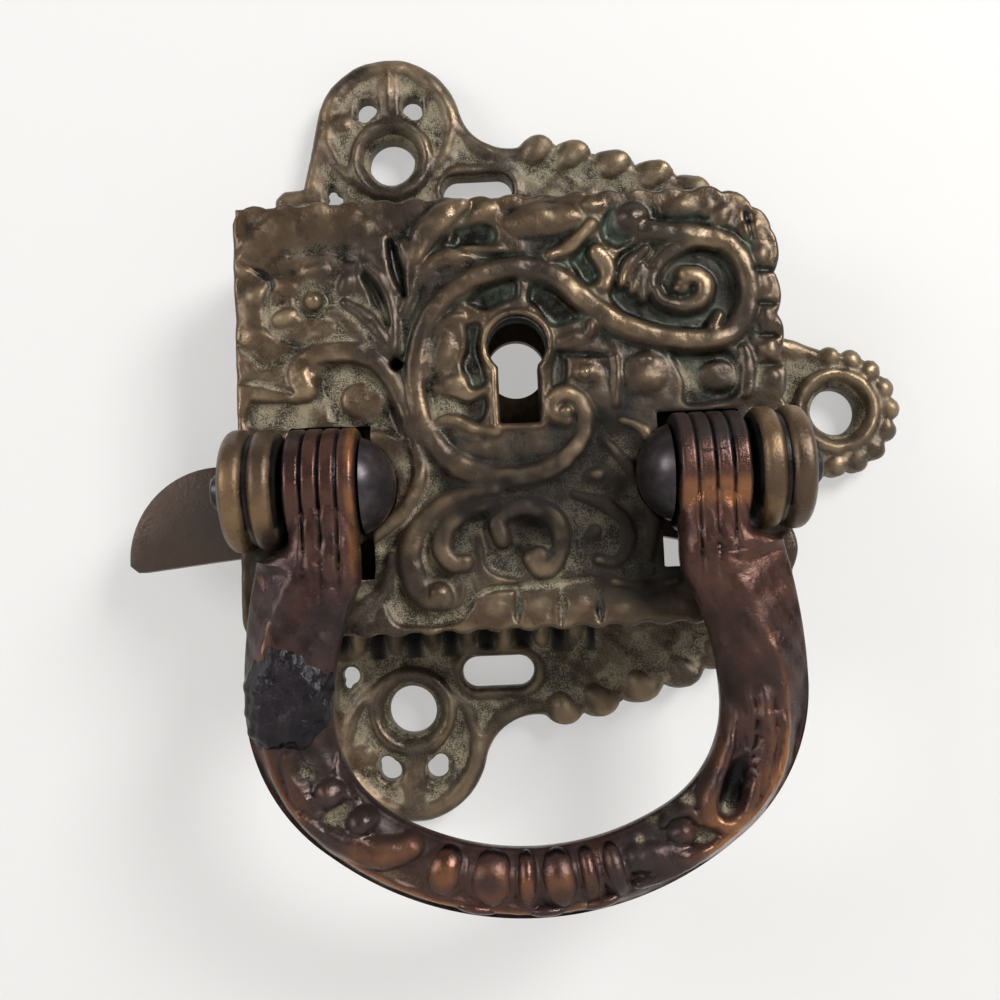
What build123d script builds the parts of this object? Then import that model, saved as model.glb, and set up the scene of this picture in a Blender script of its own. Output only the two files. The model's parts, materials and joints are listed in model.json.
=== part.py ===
from build123d import *
import math
import os

os.makedirs("parts", exist_ok=True)

# Millimetres. The back of the lock lies on Y = 0 and its face looks along -Y, with Z up.
# Heights are measured from the back plane towards the viewer.

# Case
case_width = 54.0
case_height = 43.2
case_depth = 14.0
front_wall = 3.0
side_wall = 2.8
corner_radius = 7.0
scallop_radius = 2.2
scallop_count = 15
side_scallop_radius = 4.2
side_scallop_count = 8
corner_scallop_step = 30.0

# Flange, ears and screw holes
flange_thickness = 2.5
boss_height = 3.3
boss_radius = 4.5
screw_radius = 2.55
sink_radius = 3.9
ear_x = -12.0
ear_hole_z = 30.1
ear_radius = 8.1
ear_lobe_rise = 3.7
side_ear_x = 35.1
side_ear_radius = 6.4
bead_radius = 1.25
bead_count = 9
eye_hole_radius = 1.6
leaf_bulge = 1.1
lobe_turn = math.radians(11)

# Keyhole
key_x = 0.7
key_z = 6.3
key_radius = 2.85
key_slot_width = 3.9
key_slot_drop = 7.7
lip_width = 1.1
lip_height = 0.9
back_key_radius = 3.2

# Bail hinge
axis_height = 16.0
axis_z = -7.1
ring_radius = 5.9
ring_groove = 0.85
lug_inner = 22.0
lug_width = 5.3
pin_radius = 1.7
pin_overhang = 1.5
pin_head_radius = 4.6
pin_head_height = 3.0
eye_width = 6.6
eye_radius = 5.6
eye_gap = 0.7
running_clearance = 0.05
seat_clearance = 0.02

# Bail
bail_drop = 40.0
bail_inset = 1.5
bail_bar = 8.2
bow_share = 0.511
grip_height = 6.3
bail_back = 15.7
bail_thick = 5.2
bail_bevel = 1.5
shoulder_drop = 6.6
shoulder_width = 2.9
knop_radius = 1.2
knop_rise = 0.7
knop_count = 7
knop_step = 7.0

# Latch
latch_x = -2.0
latch_z = -5.6
latch_droop = 5.65
latch_thick = 2.8
latch_back = 3.4
latch_half = 4.9
nose_radius = 9.8
nose_reach = 39.0
latch_stud_radius = 2.4
latch_hub_radius = 4.0
tail_x = 17.8
tail_z = -11.3
tail_pin_radius = 1.6
tail_radius = 2.1
stump_inset = 4.2
stump_z = -6.7
stump_radius = 1.0
slide_clearance = 0.3

# Cam horn: an involute of the circle base_radius presses the tail down
base_radius = 5.6
horn_lead = 0.42
bail_swing = 52.0
latch_ratio = 0.3
horn_width = 5.6

# Locking dog
dog_inset = 5.7
dog_z = 8.0
dog_turn = 18.0
dog_thick = 2.0
dog_back = 7.0
dog_hub_radius = 3.0
dog_stud_radius = 1.8
dog_key_gap = 6.9
finger_height = 1.9

# Back plate and springs
plate_thick = 1.2
plate_ledge = 1.1
plate_clearance = 0.15
post_radius = 2.4
tenon_radius = 1.5
leaf_thick = 0.6
leaf_width = 2.2
spring_inset = 12.2
spring_tab = 4.5
spring_lip = 1.6
relief_width = 2.3
relief_rise = 1.1

# Derived sizes
half_w = case_width / 2
half_h = case_height / 2
inner_top = half_h - side_wall
inner_side = half_w - side_wall
inner_height = case_depth - front_wall
lug_outer = lug_inner + lug_width
eye_outer = lug_inner - eye_gap
eye_inner = eye_outer - eye_width
bail_half_width = lug_outer - bail_inset
bail_inner_half = bail_half_width - bail_bar
bow_height = bow_share * bail_drop
head_face = eye_inner - 0.3
dome = (pin_head_radius ** 2 + pin_head_height ** 2) / (2 * pin_head_height)
head_well = math.sqrt(dome ** 2 - (axis_height - case_depth) ** 2) + slide_clearance
latch_front = latch_back + latch_thick
dog_front = dog_back + dog_thick
dog_x = -inner_side + dog_inset
dog_reach = key_x - dog_x - dog_key_gap
stump_x = -inner_side + stump_inset
spring_x = -inner_side + spring_inset
plate_x = inner_side + plate_ledge
plate_z = inner_top + plate_ledge
latch_lift = bail_swing * latch_ratio
hinge = Axis((0, -axis_height, axis_z), (1, 0, 0))
hinge_plane = Plane(origin=(0, -axis_height, axis_z), x_dir=(1, 0, 0), z_dir=(0, 0, 1))
face = Plane.XZ.offset(case_depth)
screw_spots = [(ear_x, ear_hole_z), (ear_x, -ear_hole_z), (side_ear_x, 0)]
post_spots = [(-inner_side + 0.6 * post_radius, -inner_top + 0.6 * post_radius),
              (inner_side - post_radius - 0.6, inner_top - post_radius - 0.6)]
latch_plane = Plane(origin=(latch_x, -latch_back, latch_z),
                    x_dir=(math.cos(math.radians(latch_droop)), 0, math.sin(math.radians(latch_droop))),
                    z_dir=(0, -1, 0))
dog_plane = Plane(origin=(dog_x, -dog_back, dog_z),
                  x_dir=(math.cos(math.radians(dog_turn)), 0, math.sin(math.radians(dog_turn))),
                  z_dir=(0, -1, 0))


def latch_local(x, z):
    a = math.radians(latch_droop)
    dx, dz = x - latch_x, z - latch_z
    return (dx * math.cos(a) + dz * math.sin(a), -dx * math.sin(a) + dz * math.cos(a))


# Scroll ridges on the front: start, heading, then tangent arcs as (radius, turn)
scrolls = [
    ((6.6, -0.4), -100, [(7.3, -80), (8.7, -80), (13, -40), (9.5, -112), (11, 52), (14, 12),
                         (5, 150), (9, 35)]),
    ((-11.0, 4.0), 125, [(7, 55), (4.2, 85)]),
    ((-11.5, 0.4), 110, [(3.2, 80), (2.0, 110)]),
    ((-11.0, 3.2), -70, [(12, -15), (25, 12), (5.5, -70)]),
    ((-3.0, -8.0), 195, [(9, 55), (3.6, 100)]),
    ((-4.0, -11.4), 60, [(6, -60), (3.6, -90), (2.8, -100)]),
]
# Bulbs that close the scrolls, and low leaf mounds, as x, z, radius, rise
bulbs = [(5.2, -0.6, 1.5, 1.3), (-20.0, 2.6, 1.4, 1.2), (-6.0, -17.0, 1.4, 1.2), (-19.1, 11.7, 1.6, 1.2),
         (17.6, 11.6, 2.6, 1.2), (3.9, 18.2, 3.0, 1.1)]

with BuildPart() as lock_case:
    # Case block, scalloped on three sides and straight on the latch side
    with BuildSketch(Plane.XZ):
        with Locations((-corner_radius / 2, 0)):
            Rectangle(case_width - corner_radius, case_height - 2 * scallop_radius)
        with Locations((-scallop_radius / 2, 0)):
            Rectangle(case_width - scallop_radius, case_height - 2 * corner_radius)
        top_start = -half_w + scallop_radius
        top_run = half_w - corner_radius - top_start
        for side in (-1, 1):
            for i in range(scallop_count):
                scallop_x = top_start + top_run * i / (scallop_count - 1)
                with Locations((scallop_x, side * (half_h - scallop_radius))):
                    RegularPolygon(scallop_radius, 12)
            with Locations((half_w - corner_radius, side * (half_h - corner_radius))):
                Circle(corner_radius - scallop_radius)
                with PolarLocations(corner_radius - scallop_radius, 2, side * corner_scallop_step,
                                    side * 2 * corner_scallop_step):
                    Circle(scallop_radius)
        for i in range(side_scallop_count):
            run = case_height - 2 * corner_radius
            with Locations((half_w - side_scallop_radius, -run / 2 + run * i / (side_scallop_count - 1))):
                Circle(side_scallop_radius)
    extrude(amount=case_depth)

    # Flange with its leafed edge, mirrored top to bottom, and the beaded ear on the right
    with BuildSketch(Plane.XZ):
        with BuildLine():
            lobe = (ear_x - 0.2, ear_hole_z + ear_lobe_rise)
            left = (lobe[0] - ear_radius * math.cos(lobe_turn), lobe[1] + ear_radius * math.sin(lobe_turn))
            right = (lobe[0] + ear_radius * math.cos(lobe_turn), left[1])
            edge_z = half_h + 5.8
            root = (lobe[0] - ear_radius - 1.6, edge_z)
            Polyline((-half_w + 1.9, 0), (-half_w + 1.9, edge_z - 1), (-half_w + 2.9, edge_z), root, left)
            ThreePointArc(left, (lobe[0], lobe[1] + ear_radius), right)
            tips = [(2.2, half_h + 9.7), (6.2, half_h + 9.6), (10.3, half_h + 8.3), (15.0, half_h + 7.0),
                    (half_w - 7.6, half_h + 5.5), (half_w - 3.6, half_h + 3.0), (half_w - 0.4, half_h - 1.0)]
            ThreePointArc(right, (right[0] + 2.0, right[1] - 3.0), tips[0])
            for a, b in zip(tips, tips[1:]):
                run = math.dist(a, b)
                out = ((a[1] - b[1]) / run * leaf_bulge, (b[0] - a[0]) / run * leaf_bulge)
                ThreePointArc(a, ((a[0] + b[0]) / 2 + out[0], (a[1] + b[1]) / 2 + out[1]), b)
            Polyline(tips[-1], (half_w - 0.4, 0), (-half_w + 1.9, 0))
        make_face()
        mirror(about=Plane.XZ)
        with BuildLine():
            Polyline((half_w - 1, 9.6), (half_w + 4.4, 8.0), (side_ear_x, side_ear_radius),
                     (side_ear_x, -side_ear_radius), (half_w + 4.4, -8.0), (half_w - 1, -9.6), close=True)
        make_face()
        with Locations((side_ear_x, 0)):
            Circle(side_ear_radius)
            bead_arc = 184 * bead_count / (bead_count - 1)
            with PolarLocations(side_ear_radius - 0.5, bead_count, -92, bead_arc):
                RegularPolygon(bead_radius, 8)
        for side in (-1, 1):
            eye_z = side * (ear_hole_z + 6.2)
            with Locations((ear_x - 2.6, eye_z)):
                RegularPolygon(eye_hole_radius, 3, rotation=side * 70, mode=Mode.SUBTRACT)
            with Locations((ear_x + 2.4, eye_z)):
                RegularPolygon(eye_hole_radius, 3, rotation=side * 110, mode=Mode.SUBTRACT)
            with Locations((ear_x + 9.35, side * (ear_hole_z - 3.7))):
                SlotOverall(7.7, 3.3, mode=Mode.SUBTRACT)
            with Locations((ear_x - 6.6, side * (ear_hole_z - 3.7))):
                RegularPolygon(1.4, 3, rotation=90, mode=Mode.SUBTRACT)
    extrude(amount=flange_thickness)

    # Raised rims round the screw holes
    with BuildSketch(Plane.XZ):
        with Locations(*screw_spots):
            Circle(boss_radius)
    extrude(amount=boss_height)

    # Double-ringed hinge lugs
    for side in (-1, 1):
        with BuildSketch(hinge_plane):
            with BuildLine():
                base = ring_radius - ring_groove
                x0 = side * lug_inner
                x1 = side * (lug_inner + 0.56 * lug_width - ring_groove / 2)
                x2 = x1 + side * ring_groove
                x3 = side * lug_outer
                Polyline((x0, 0), (x0, ring_radius), (x1, ring_radius), (x1, base), (x2, base),
                         (x2, ring_radius), (x3, ring_radius), (x3, 0), close=True)
            make_face()
        revolve(axis=hinge)

    # Scrollwork
    for start, heading, arcs in scrolls:
        with BuildLine(face) as stroke:
            at = start
            way = (math.cos(math.radians(heading)), math.sin(math.radians(heading)))
            for radius, turn in arcs:
                arc = JernArc(at, way, radius, turn)
                at, way = arc @ 1, arc % 1
        with BuildSketch(Plane(stroke.line @ 0, x_dir=(0, 1, 0), z_dir=stroke.line % 0)):
            Rectangle(2 * relief_rise, relief_width)
        sweep(path=stroke.line)
    for x, z, radius, rise in bulbs:
        with BuildSketch(face.offset(-1)):
            with Locations((x, z)):
                RegularPolygon(radius, 8)
        extrude(amount=1 + rise)
    with BuildSketch(face.offset(-1)):
        with Locations((key_x, key_z)):
            Circle(key_radius + lip_width)
        with Locations((key_x, key_z - (key_slot_drop + lip_width) / 2)):
            Rectangle(key_slot_width + 2 * lip_width, key_slot_drop + lip_width)
    extrude(amount=1 + lip_height)

    # Hollow, with a ledge for the back plate and two posts that hold it
    with BuildSketch(Plane.XZ) as hollow:
        Rectangle(2 * inner_side, 2 * inner_top)
        fillet(hollow.vertices().group_by(Axis.X)[-1], corner_radius - side_wall)
        with Locations(*post_spots):
            Circle(post_radius, mode=Mode.SUBTRACT)
    extrude(amount=inner_height, mode=Mode.SUBTRACT)
    with BuildSketch(Plane.XZ) as rebate:
        Rectangle(2 * plate_x, 2 * plate_z)
        fillet(rebate.vertices().group_by(Axis.X)[-1], corner_radius - side_wall + plate_ledge)
        with Locations(*post_spots):
            Circle(tenon_radius, mode=Mode.SUBTRACT)
    extrude(amount=plate_thick, mode=Mode.SUBTRACT)

    # Openings in the front: keyhole, pin hole, and a slot for each bail eye and pin head
    with BuildSketch(Plane.XZ):
        with Locations((key_x, key_z)):
            Circle(key_radius)
        with Locations((key_x, key_z - key_slot_drop / 2)):
            Rectangle(key_slot_width, key_slot_drop)
        with Locations((-11.2, 4.9)):
            Circle(0.6)
        for side in (-1, 1):
            with Locations((side * (eye_inner + eye_outer) / 2, axis_z - 1.35)):
                Rectangle(eye_width + 1.4, 2 * eye_radius + 3.9)
            with Locations((side * (head_face - pin_head_height + dome), axis_z)):
                Circle(head_well)
    extrude(amount=case_depth + 4, mode=Mode.SUBTRACT)

    # Slot in the latch side, sized by the latch's travel
    low = math.radians(latch_droop)
    high = math.radians(latch_droop - latch_lift)
    slot_low = latch_z + (latch_x + half_w) * -math.sin(low) - latch_half / math.cos(low) - 0.5
    slot_high = latch_z - (latch_x + half_w) * math.tan(high) + latch_half / math.cos(high) + 0.5
    with BuildSketch(Plane.YZ.offset(-half_w - 1)):
        with Locations((-latch_back - latch_thick / 2, (slot_low + slot_high) / 2)):
            Rectangle(latch_thick + 2 * slide_clearance, slot_high - slot_low)
    extrude(amount=side_wall + 1.5, mode=Mode.SUBTRACT)

    # Pin bores in the lugs, blind seats for the studs, and countersunk screw holes
    for side in (-1, 1):
        with BuildSketch(Plane.YZ.offset(side * (lug_inner + lug_width / 2))):
            with Locations((-axis_height, axis_z)):
                Circle(pin_radius + seat_clearance)
        extrude(amount=lug_width / 2 + 1, both=True, mode=Mode.SUBTRACT)
    with BuildSketch(Plane.XZ.offset(inner_height - 0.5)):
        with Locations((latch_x, latch_z), (dog_x, dog_z)):
            Circle(tenon_radius + seat_clearance)
    extrude(amount=2.3, mode=Mode.SUBTRACT)
    for x, z in screw_spots:
        with Locations(Plane.XZ.offset(boss_height) * Pos(x, z)):
            CounterSinkHole(screw_radius, sink_radius, depth=boss_height, counter_sink_angle=82)
lock_case.part.label = "lock_case"
export_step(lock_case.part, "parts/lock_case.step")

with BuildPart() as back_plate:
    with BuildSketch(Plane.XZ) as sheet:
        Rectangle(2 * (plate_x - plate_clearance), 2 * (plate_z - plate_clearance))
        fillet(sheet.vertices().group_by(Axis.X)[-1], corner_radius - side_wall + plate_ledge)
        with Locations(*post_spots):
            Circle(tenon_radius + seat_clearance, mode=Mode.SUBTRACT)
        with Locations((key_x, key_z)):
            Circle(back_key_radius, mode=Mode.SUBTRACT)
        with Locations((tail_x - 0.4, tail_z - 3.2)):
            RectangleRounded(8.4, 6.4, 1, mode=Mode.SUBTRACT)
    extrude(amount=plate_thick)
back_plate.part.label = "back_plate"
export_step(back_plate.part, "parts/back_plate.step")

with BuildPart() as bail_handle:
    # Loop: half the front outline, mirrored, with a bevelled face and a flat back
    with BuildSketch(Plane.XZ.offset(bail_back)):
        with BuildLine():
            shoulder_z = axis_z - shoulder_drop
            bottom_z = axis_z - bail_drop
            mid_z = bottom_z + bow_height
            flank_z = mid_z - 1.5
            grip_z = bottom_z + grip_height
            Line((0, grip_z), (0, bottom_z))
            bow_end = (0.72 * bail_half_width, mid_z - 0.69 * bow_height)
            bow = TangentArc((0, bottom_z), bow_end, tangent=(1, 0))
            bend = TangentArc(bow @ 1, (bail_half_width, mid_z), tangent=bow % 1)
            TangentArc(bend @ 1, (eye_outer + shoulder_width, shoulder_z), tangent=bend % 1)
            Polyline((eye_outer + shoulder_width, shoulder_z), (eye_outer, shoulder_z), (eye_outer, axis_z),
                     (eye_inner, axis_z), (eye_inner, shoulder_z - 2.6))
            bow = TangentArc((0, grip_z), (0.685 * bail_inner_half, grip_z + 3.2), tangent=(1, 0))
            bend = TangentArc(bow @ 1, (bail_inner_half, flank_z), tangent=bow % 1)
            TangentArc(bend @ 1, (eye_inner, shoulder_z - 2.6), tangent=bend % 1)
        make_face()
        mirror(about=Plane.YZ)
    extrude(amount=bail_thick)
    chamfer(bail_handle.faces().sort_by(Axis.Y)[0].edges(), bail_bevel)

    # Eyes, and a row of knops along the grip
    for side in (-1, 1):
        with BuildSketch(Plane.YZ.offset(side * (eye_inner + eye_outer) / 2)):
            with Locations((-axis_height, axis_z)):
                Circle(eye_radius)
        extrude(amount=eye_width / 2, both=True)
    mid_x = (bail_half_width + bail_inner_half) / 2
    mid_y = bow_height - grip_height / 2
    with BuildSketch(Plane.XZ.offset(bail_back + bail_thick - 1)):
        for i in range(knop_count):
            a = math.radians(-90 + knop_step * (i - (knop_count - 1) / 2))
            with Locations((mid_x * math.cos(a), mid_z + mid_y * math.sin(a))):
                RegularPolygon(knop_radius, 6)
    extrude(amount=1 + knop_rise)

    # Cam horn behind the right eye
    points = []
    for i in range(7):
        g = -horn_lead + (math.radians(bail_swing) + 0.05 + horn_lead) * i / 6
        t = horn_lead + g
        out = math.cos(g) + t * math.sin(g)
        up = math.sin(g) - t * math.cos(g)
        points.append((base_radius * out, base_radius * up))
    with BuildSketch(Plane.YZ.offset((eye_inner + eye_outer) / 2 - horn_width / 2)):
        with BuildLine():
            flank = [(-axis_height + b, axis_z + w) for b, w in points]
            Spline(*flank)
            Polyline(flank[-1], (-axis_height + base_radius + 3.4, axis_z + 1.6),
                     (-axis_height + 4.4, axis_z + 3.0), (-axis_height + 3.0, axis_z), flank[0])
        make_face()
    extrude(amount=horn_width)

    # Bores for the pins
    with BuildSketch(Plane.YZ.offset(-lug_outer)):
        with Locations((-axis_height, axis_z)):
            Circle(pin_radius + running_clearance)
    extrude(amount=2 * lug_outer, mode=Mode.SUBTRACT)
bail_handle.part.label = "bail_handle"
export_step(bail_handle.part, "parts/bail_handle.step")

with BuildPart() as pivot_pin_right:
    with BuildSketch(hinge_plane):
        with BuildLine():
            tip = head_face - pin_head_height
            rim = math.asin(pin_head_radius / dome)
            turns = (rim, 0.72 * rim, 0.42 * rim)
            crown = [(tip + dome * (1 - math.cos(a)), dome * math.sin(a)) for a in turns]
            pin_end = lug_outer + pin_overhang
            Polyline((crown[-1][0], 0), (pin_end, 0), (pin_end, pin_radius), (head_face, pin_radius),
                     *crown, close=True)
        make_face()
    revolve(axis=hinge)
pivot_pin_right.part.label = "pivot_pin_right"
export_step(pivot_pin_right.part, "parts/pivot_pin_right.step")

with BuildPart() as pivot_pin_left:
    add(mirror(pivot_pin_right.part, about=Plane.YZ, mode=Mode.PRIVATE))
pivot_pin_left.part.label = "pivot_pin_left"
export_step(pivot_pin_left.part, "parts/pivot_pin_left.step")

with BuildPart() as latch_lever:
    # Nose, shank and tail drawn level about the pivot, on a plane that droops to the rest position
    tail = latch_local(tail_x, tail_z)
    stump = latch_local(stump_x, stump_z)
    with BuildSketch(latch_plane):
        with BuildLine():
            tip_x = -nose_reach
            Polyline((-7.0, -latch_half), (tip_x + 0.8, -latch_half), (tip_x, -latch_half + 0.8))
            ThreePointArc((tip_x, -latch_half + 0.8),
                          (tip_x + 0.29 * nose_radius, -latch_half + 0.73 * 2 * latch_half),
                          (tip_x + nose_radius + 0.6, latch_half))
            shank = latch_hub_radius - 0.6
            lean = (0.4 * tail_radius, 0.9 * tail_radius)
            Polyline((tip_x + nose_radius + 0.6, latch_half), (-12.0, latch_half), (-6.0, shank), (0, shank),
                     (tail[0] + lean[0], tail[1] + lean[1]), (tail[0] - lean[0], tail[1] - lean[1]),
                     (0, -shank), (-7.0, -latch_half))
        make_face()
        Circle(latch_hub_radius)
        with Locations(tail):
            Circle(tail_radius)
    extrude(amount=latch_thick)
    with BuildSketch(latch_plane):
        Circle(latch_hub_radius)
    extrude(amount=-(latch_back - plate_thick - 0.2))
    with BuildSketch(latch_plane.offset(latch_thick)):
        with Locations(tail):
            Circle(tail_pin_radius)
    extrude(amount=axis_height - base_radius + 0.3 - latch_front)
    with BuildSketch(latch_plane.offset(latch_thick)):
        with Locations(stump):
            Circle(stump_radius)
    extrude(amount=dog_front - latch_front)
    with BuildSketch(latch_plane.offset(-latch_back)):
        Circle(latch_stud_radius + running_clearance)
    extrude(amount=2 * case_depth, mode=Mode.SUBTRACT)
latch_lever.part.label = "latch_lever"
export_step(latch_lever.part, "parts/latch_lever.step")

with BuildPart() as latch_stud:
    with BuildSketch(Plane.XZ.offset(plate_thick)):
        with Locations((latch_x, latch_z)):
            Circle(latch_stud_radius)
    extrude(amount=inner_height - plate_thick)
    with BuildSketch(Plane.XZ.offset(latch_front + 0.15)):
        with Locations((latch_x, latch_z)):
            Circle(latch_stud_radius + 0.9)
    extrude(amount=inner_height - latch_front - 0.15)
    with BuildSketch(Plane.XZ.offset(inner_height)):
        with Locations((latch_x, latch_z)):
            Circle(tenon_radius)
    extrude(amount=1.7)
latch_stud.part.label = "latch_stud"
export_step(latch_stud.part, "parts/latch_stud.step")

with BuildPart() as latch_spring:
    # Bow leaf: flat on the top wall, round the left side, its free end on the latch
    with BuildSketch(Plane.XZ.offset(latch_back + (latch_thick - leaf_width) / 2)):
        with BuildLine():
            rest_z = latch_z + (spring_x - latch_x) * math.tan(low) + latch_half / math.cos(low)
            rest_z += slide_clearance / 2 + leaf_thick / 2
            top_z = inner_top - leaf_thick / 2
            tab = Line((spring_x + spring_tab, top_z), (spring_x, top_z))
            half_turn = JernArc(tab @ 1, tab % 1, (top_z - rest_z) / 2, 180)
            Line(half_turn @ 1, half_turn @ 1 + (spring_lip, 0))
        trace(line_width=leaf_thick)
    extrude(amount=leaf_width)
latch_spring.part.label = "latch_spring"
export_step(latch_spring.part, "parts/latch_spring.step")

with BuildPart() as lock_dog:
    # Drawn as locked about its pivot, then laid back by dog_turn to rest unlocked
    with BuildSketch(dog_plane):
        Circle(dog_hub_radius)
        finger_low = stump_z + stump_radius + slide_clearance - dog_z
        arm_left = 0.3
        arm_width = 2.5
        with Locations((arm_left + arm_width / 2, finger_low / 2)):
            Rectangle(arm_width, -finger_low)
        with Locations((arm_left + arm_width - 2.7, finger_low + finger_height / 2)):
            Rectangle(5.4, finger_height)
        aim = math.degrees(math.atan2(key_z - dog_z, key_x - dog_x)) - dog_turn / 2
        with Locations(Location((0, 0), aim)):
            with Locations((dog_reach / 2, 0)):
                Rectangle(dog_reach, 3.2)
            with Locations((dog_reach - 1.6, 0)):
                Rectangle(3.2, 5.6)
            with Locations((dog_reach + 0.2, 0)):
                Circle(1.5, mode=Mode.SUBTRACT)
        Circle(dog_stud_radius + running_clearance, mode=Mode.SUBTRACT)
    extrude(amount=dog_thick)
lock_dog.part.label = "lock_dog"
export_step(lock_dog.part, "parts/lock_dog.step")

with BuildPart() as dog_stud:
    # Shouldered stud: seat, collar, shank and a peened head
    with BuildSketch(Plane(origin=(dog_x, 0, dog_z), x_dir=(1, 0, 0), z_dir=(0, 0, 1))):
        with BuildLine():
            head = -dog_back + 0.15
            collar = -dog_front - 0.15
            Polyline((0, head + 0.7), (0, -inner_height - 1.7), (tenon_radius, -inner_height - 1.7),
                     (tenon_radius, -inner_height), (dog_stud_radius + 1, -inner_height),
                     (dog_stud_radius + 1, collar), (dog_stud_radius, collar), (dog_stud_radius, head),
                     (dog_stud_radius + 0.9, head), (dog_stud_radius + 0.9, head + 0.7), close=True)
        make_face()
    revolve(axis=Axis((dog_x, 0, dog_z), (0, 1, 0)))
dog_stud.part.label = "dog_stud"
export_step(dog_stud.part, "parts/dog_stud.step")

with BuildPart() as dog_spring:
    # Leaf that bears on the hub, so the dog stays where the key leaves it
    with BuildSketch(Plane.XZ.offset(dog_back + 0.2)):
        with BuildLine():
            bend = 1.5
            leaf_x = dog_x - dog_hub_radius - 0.1 - leaf_thick / 2
            leaf_z = inner_top - leaf_thick / 2
            tab = Line((dog_x + 1.5, leaf_z), (leaf_x + bend, leaf_z))
            turn = JernArc(tab @ 1, tab % 1, bend, 90)
            run = Line(turn @ 1, (leaf_x, dog_z - 2.5))
            JernArc(run @ 1, run % 1, 1.2, -50)
        trace(line_width=leaf_thick)
    extrude(amount=dog_thick - 0.4)
dog_spring.part.label = "dog_spring"
export_step(dog_spring.part, "parts/dog_spring.step")
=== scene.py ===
import json
import math
import bmesh
import bpy
import numpy as np
from mathutils import Matrix, Vector

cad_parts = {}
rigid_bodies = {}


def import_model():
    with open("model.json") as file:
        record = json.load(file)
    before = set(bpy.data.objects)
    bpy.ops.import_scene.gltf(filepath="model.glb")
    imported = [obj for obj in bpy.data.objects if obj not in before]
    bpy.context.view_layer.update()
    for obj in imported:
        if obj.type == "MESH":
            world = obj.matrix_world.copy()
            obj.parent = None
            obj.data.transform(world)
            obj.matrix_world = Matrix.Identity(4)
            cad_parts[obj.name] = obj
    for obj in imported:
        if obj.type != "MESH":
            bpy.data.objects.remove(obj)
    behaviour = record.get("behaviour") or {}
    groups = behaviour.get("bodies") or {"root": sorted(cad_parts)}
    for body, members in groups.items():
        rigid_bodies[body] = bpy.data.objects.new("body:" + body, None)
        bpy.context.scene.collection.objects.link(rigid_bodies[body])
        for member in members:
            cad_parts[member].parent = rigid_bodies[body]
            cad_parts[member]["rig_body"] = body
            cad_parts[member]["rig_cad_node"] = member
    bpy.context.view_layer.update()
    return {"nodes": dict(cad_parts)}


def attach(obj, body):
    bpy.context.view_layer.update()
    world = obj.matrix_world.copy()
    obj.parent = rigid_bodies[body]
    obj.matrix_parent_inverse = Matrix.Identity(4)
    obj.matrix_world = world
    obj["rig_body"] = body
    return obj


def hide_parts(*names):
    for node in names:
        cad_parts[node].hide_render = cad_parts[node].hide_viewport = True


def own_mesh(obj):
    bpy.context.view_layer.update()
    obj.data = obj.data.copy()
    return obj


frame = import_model()
mm = 0.001
tiny = 1e-9


# materials: small node helpers

def newMaterial(name):
    mat = bpy.data.materials.new(name)
    mat.use_nodes = True
    return mat, mat.node_tree, mat.node_tree.nodes["Principled BSDF"]


def addNode(tree, kind, **values):
    node = tree.nodes.new(kind)
    for key, value in values.items():
        if hasattr(node, key):
            setattr(node, key, value)
        else:
            node.inputs[key].default_value = value
    return node


def feed(tree, target, value):
    if isinstance(value, bpy.types.NodeSocket):
        tree.links.new(value, target)
    else:
        target.default_value = (*value, 1) if isinstance(value, tuple) else value


def mathNode(tree, operation, a, b, clamp=False):
    node = addNode(tree, "ShaderNodeMath", operation=operation, use_clamp=clamp)
    feed(tree, node.inputs[0], a)
    feed(tree, node.inputs[1], b)
    return node.outputs[0]


def times(tree, a, b, clamp=False):
    return mathNode(tree, "MULTIPLY", a, b, clamp)


def plus(tree, a, b, clamp=False):
    return mathNode(tree, "ADD", a, b, clamp)


def mixColour(tree, share, a, b):
    # sockets 6 and 7 take the colours, and socket 2 gives the colour
    node = addNode(tree, "ShaderNodeMix", data_type="RGBA")
    for socket, value in ((0, share), (6, a), (7, b)):
        feed(tree, node.inputs[socket], value)
    return node.outputs[2]


def stretch(tree, value, low, high, outLow=0.0, outHigh=1.0):
    node = addNode(tree, "ShaderNodeMapRange", interpolation_type="SMOOTHSTEP")
    feed(tree, node.inputs["Value"], value)
    for key, number in (("From Min", low), ("From Max", high), ("To Min", outLow), ("To Max", outHigh)):
        node.inputs[key].default_value = number
    return node.outputs["Result"]


def speckle(tree, scale, detail, roughness):
    place = addNode(tree, "ShaderNodeTexCoord")
    node = addNode(tree, "ShaderNodeTexNoise", Scale=scale, Detail=detail, Roughness=roughness)
    tree.links.new(place.outputs["Object"], node.inputs["Vector"])
    return node.outputs["Fac"]


def painted(tree, name):
    return addNode(tree, "ShaderNodeAttribute", attribute_name=name).outputs["Fac"]


def bumped(tree, shader, height, strength, distance):
    bump = addNode(tree, "ShaderNodeBump", Strength=strength, Distance=distance)
    tree.links.new(height, bump.inputs["Height"])
    tree.links.new(bump.outputs["Normal"], shader.inputs["Normal"])


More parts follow.
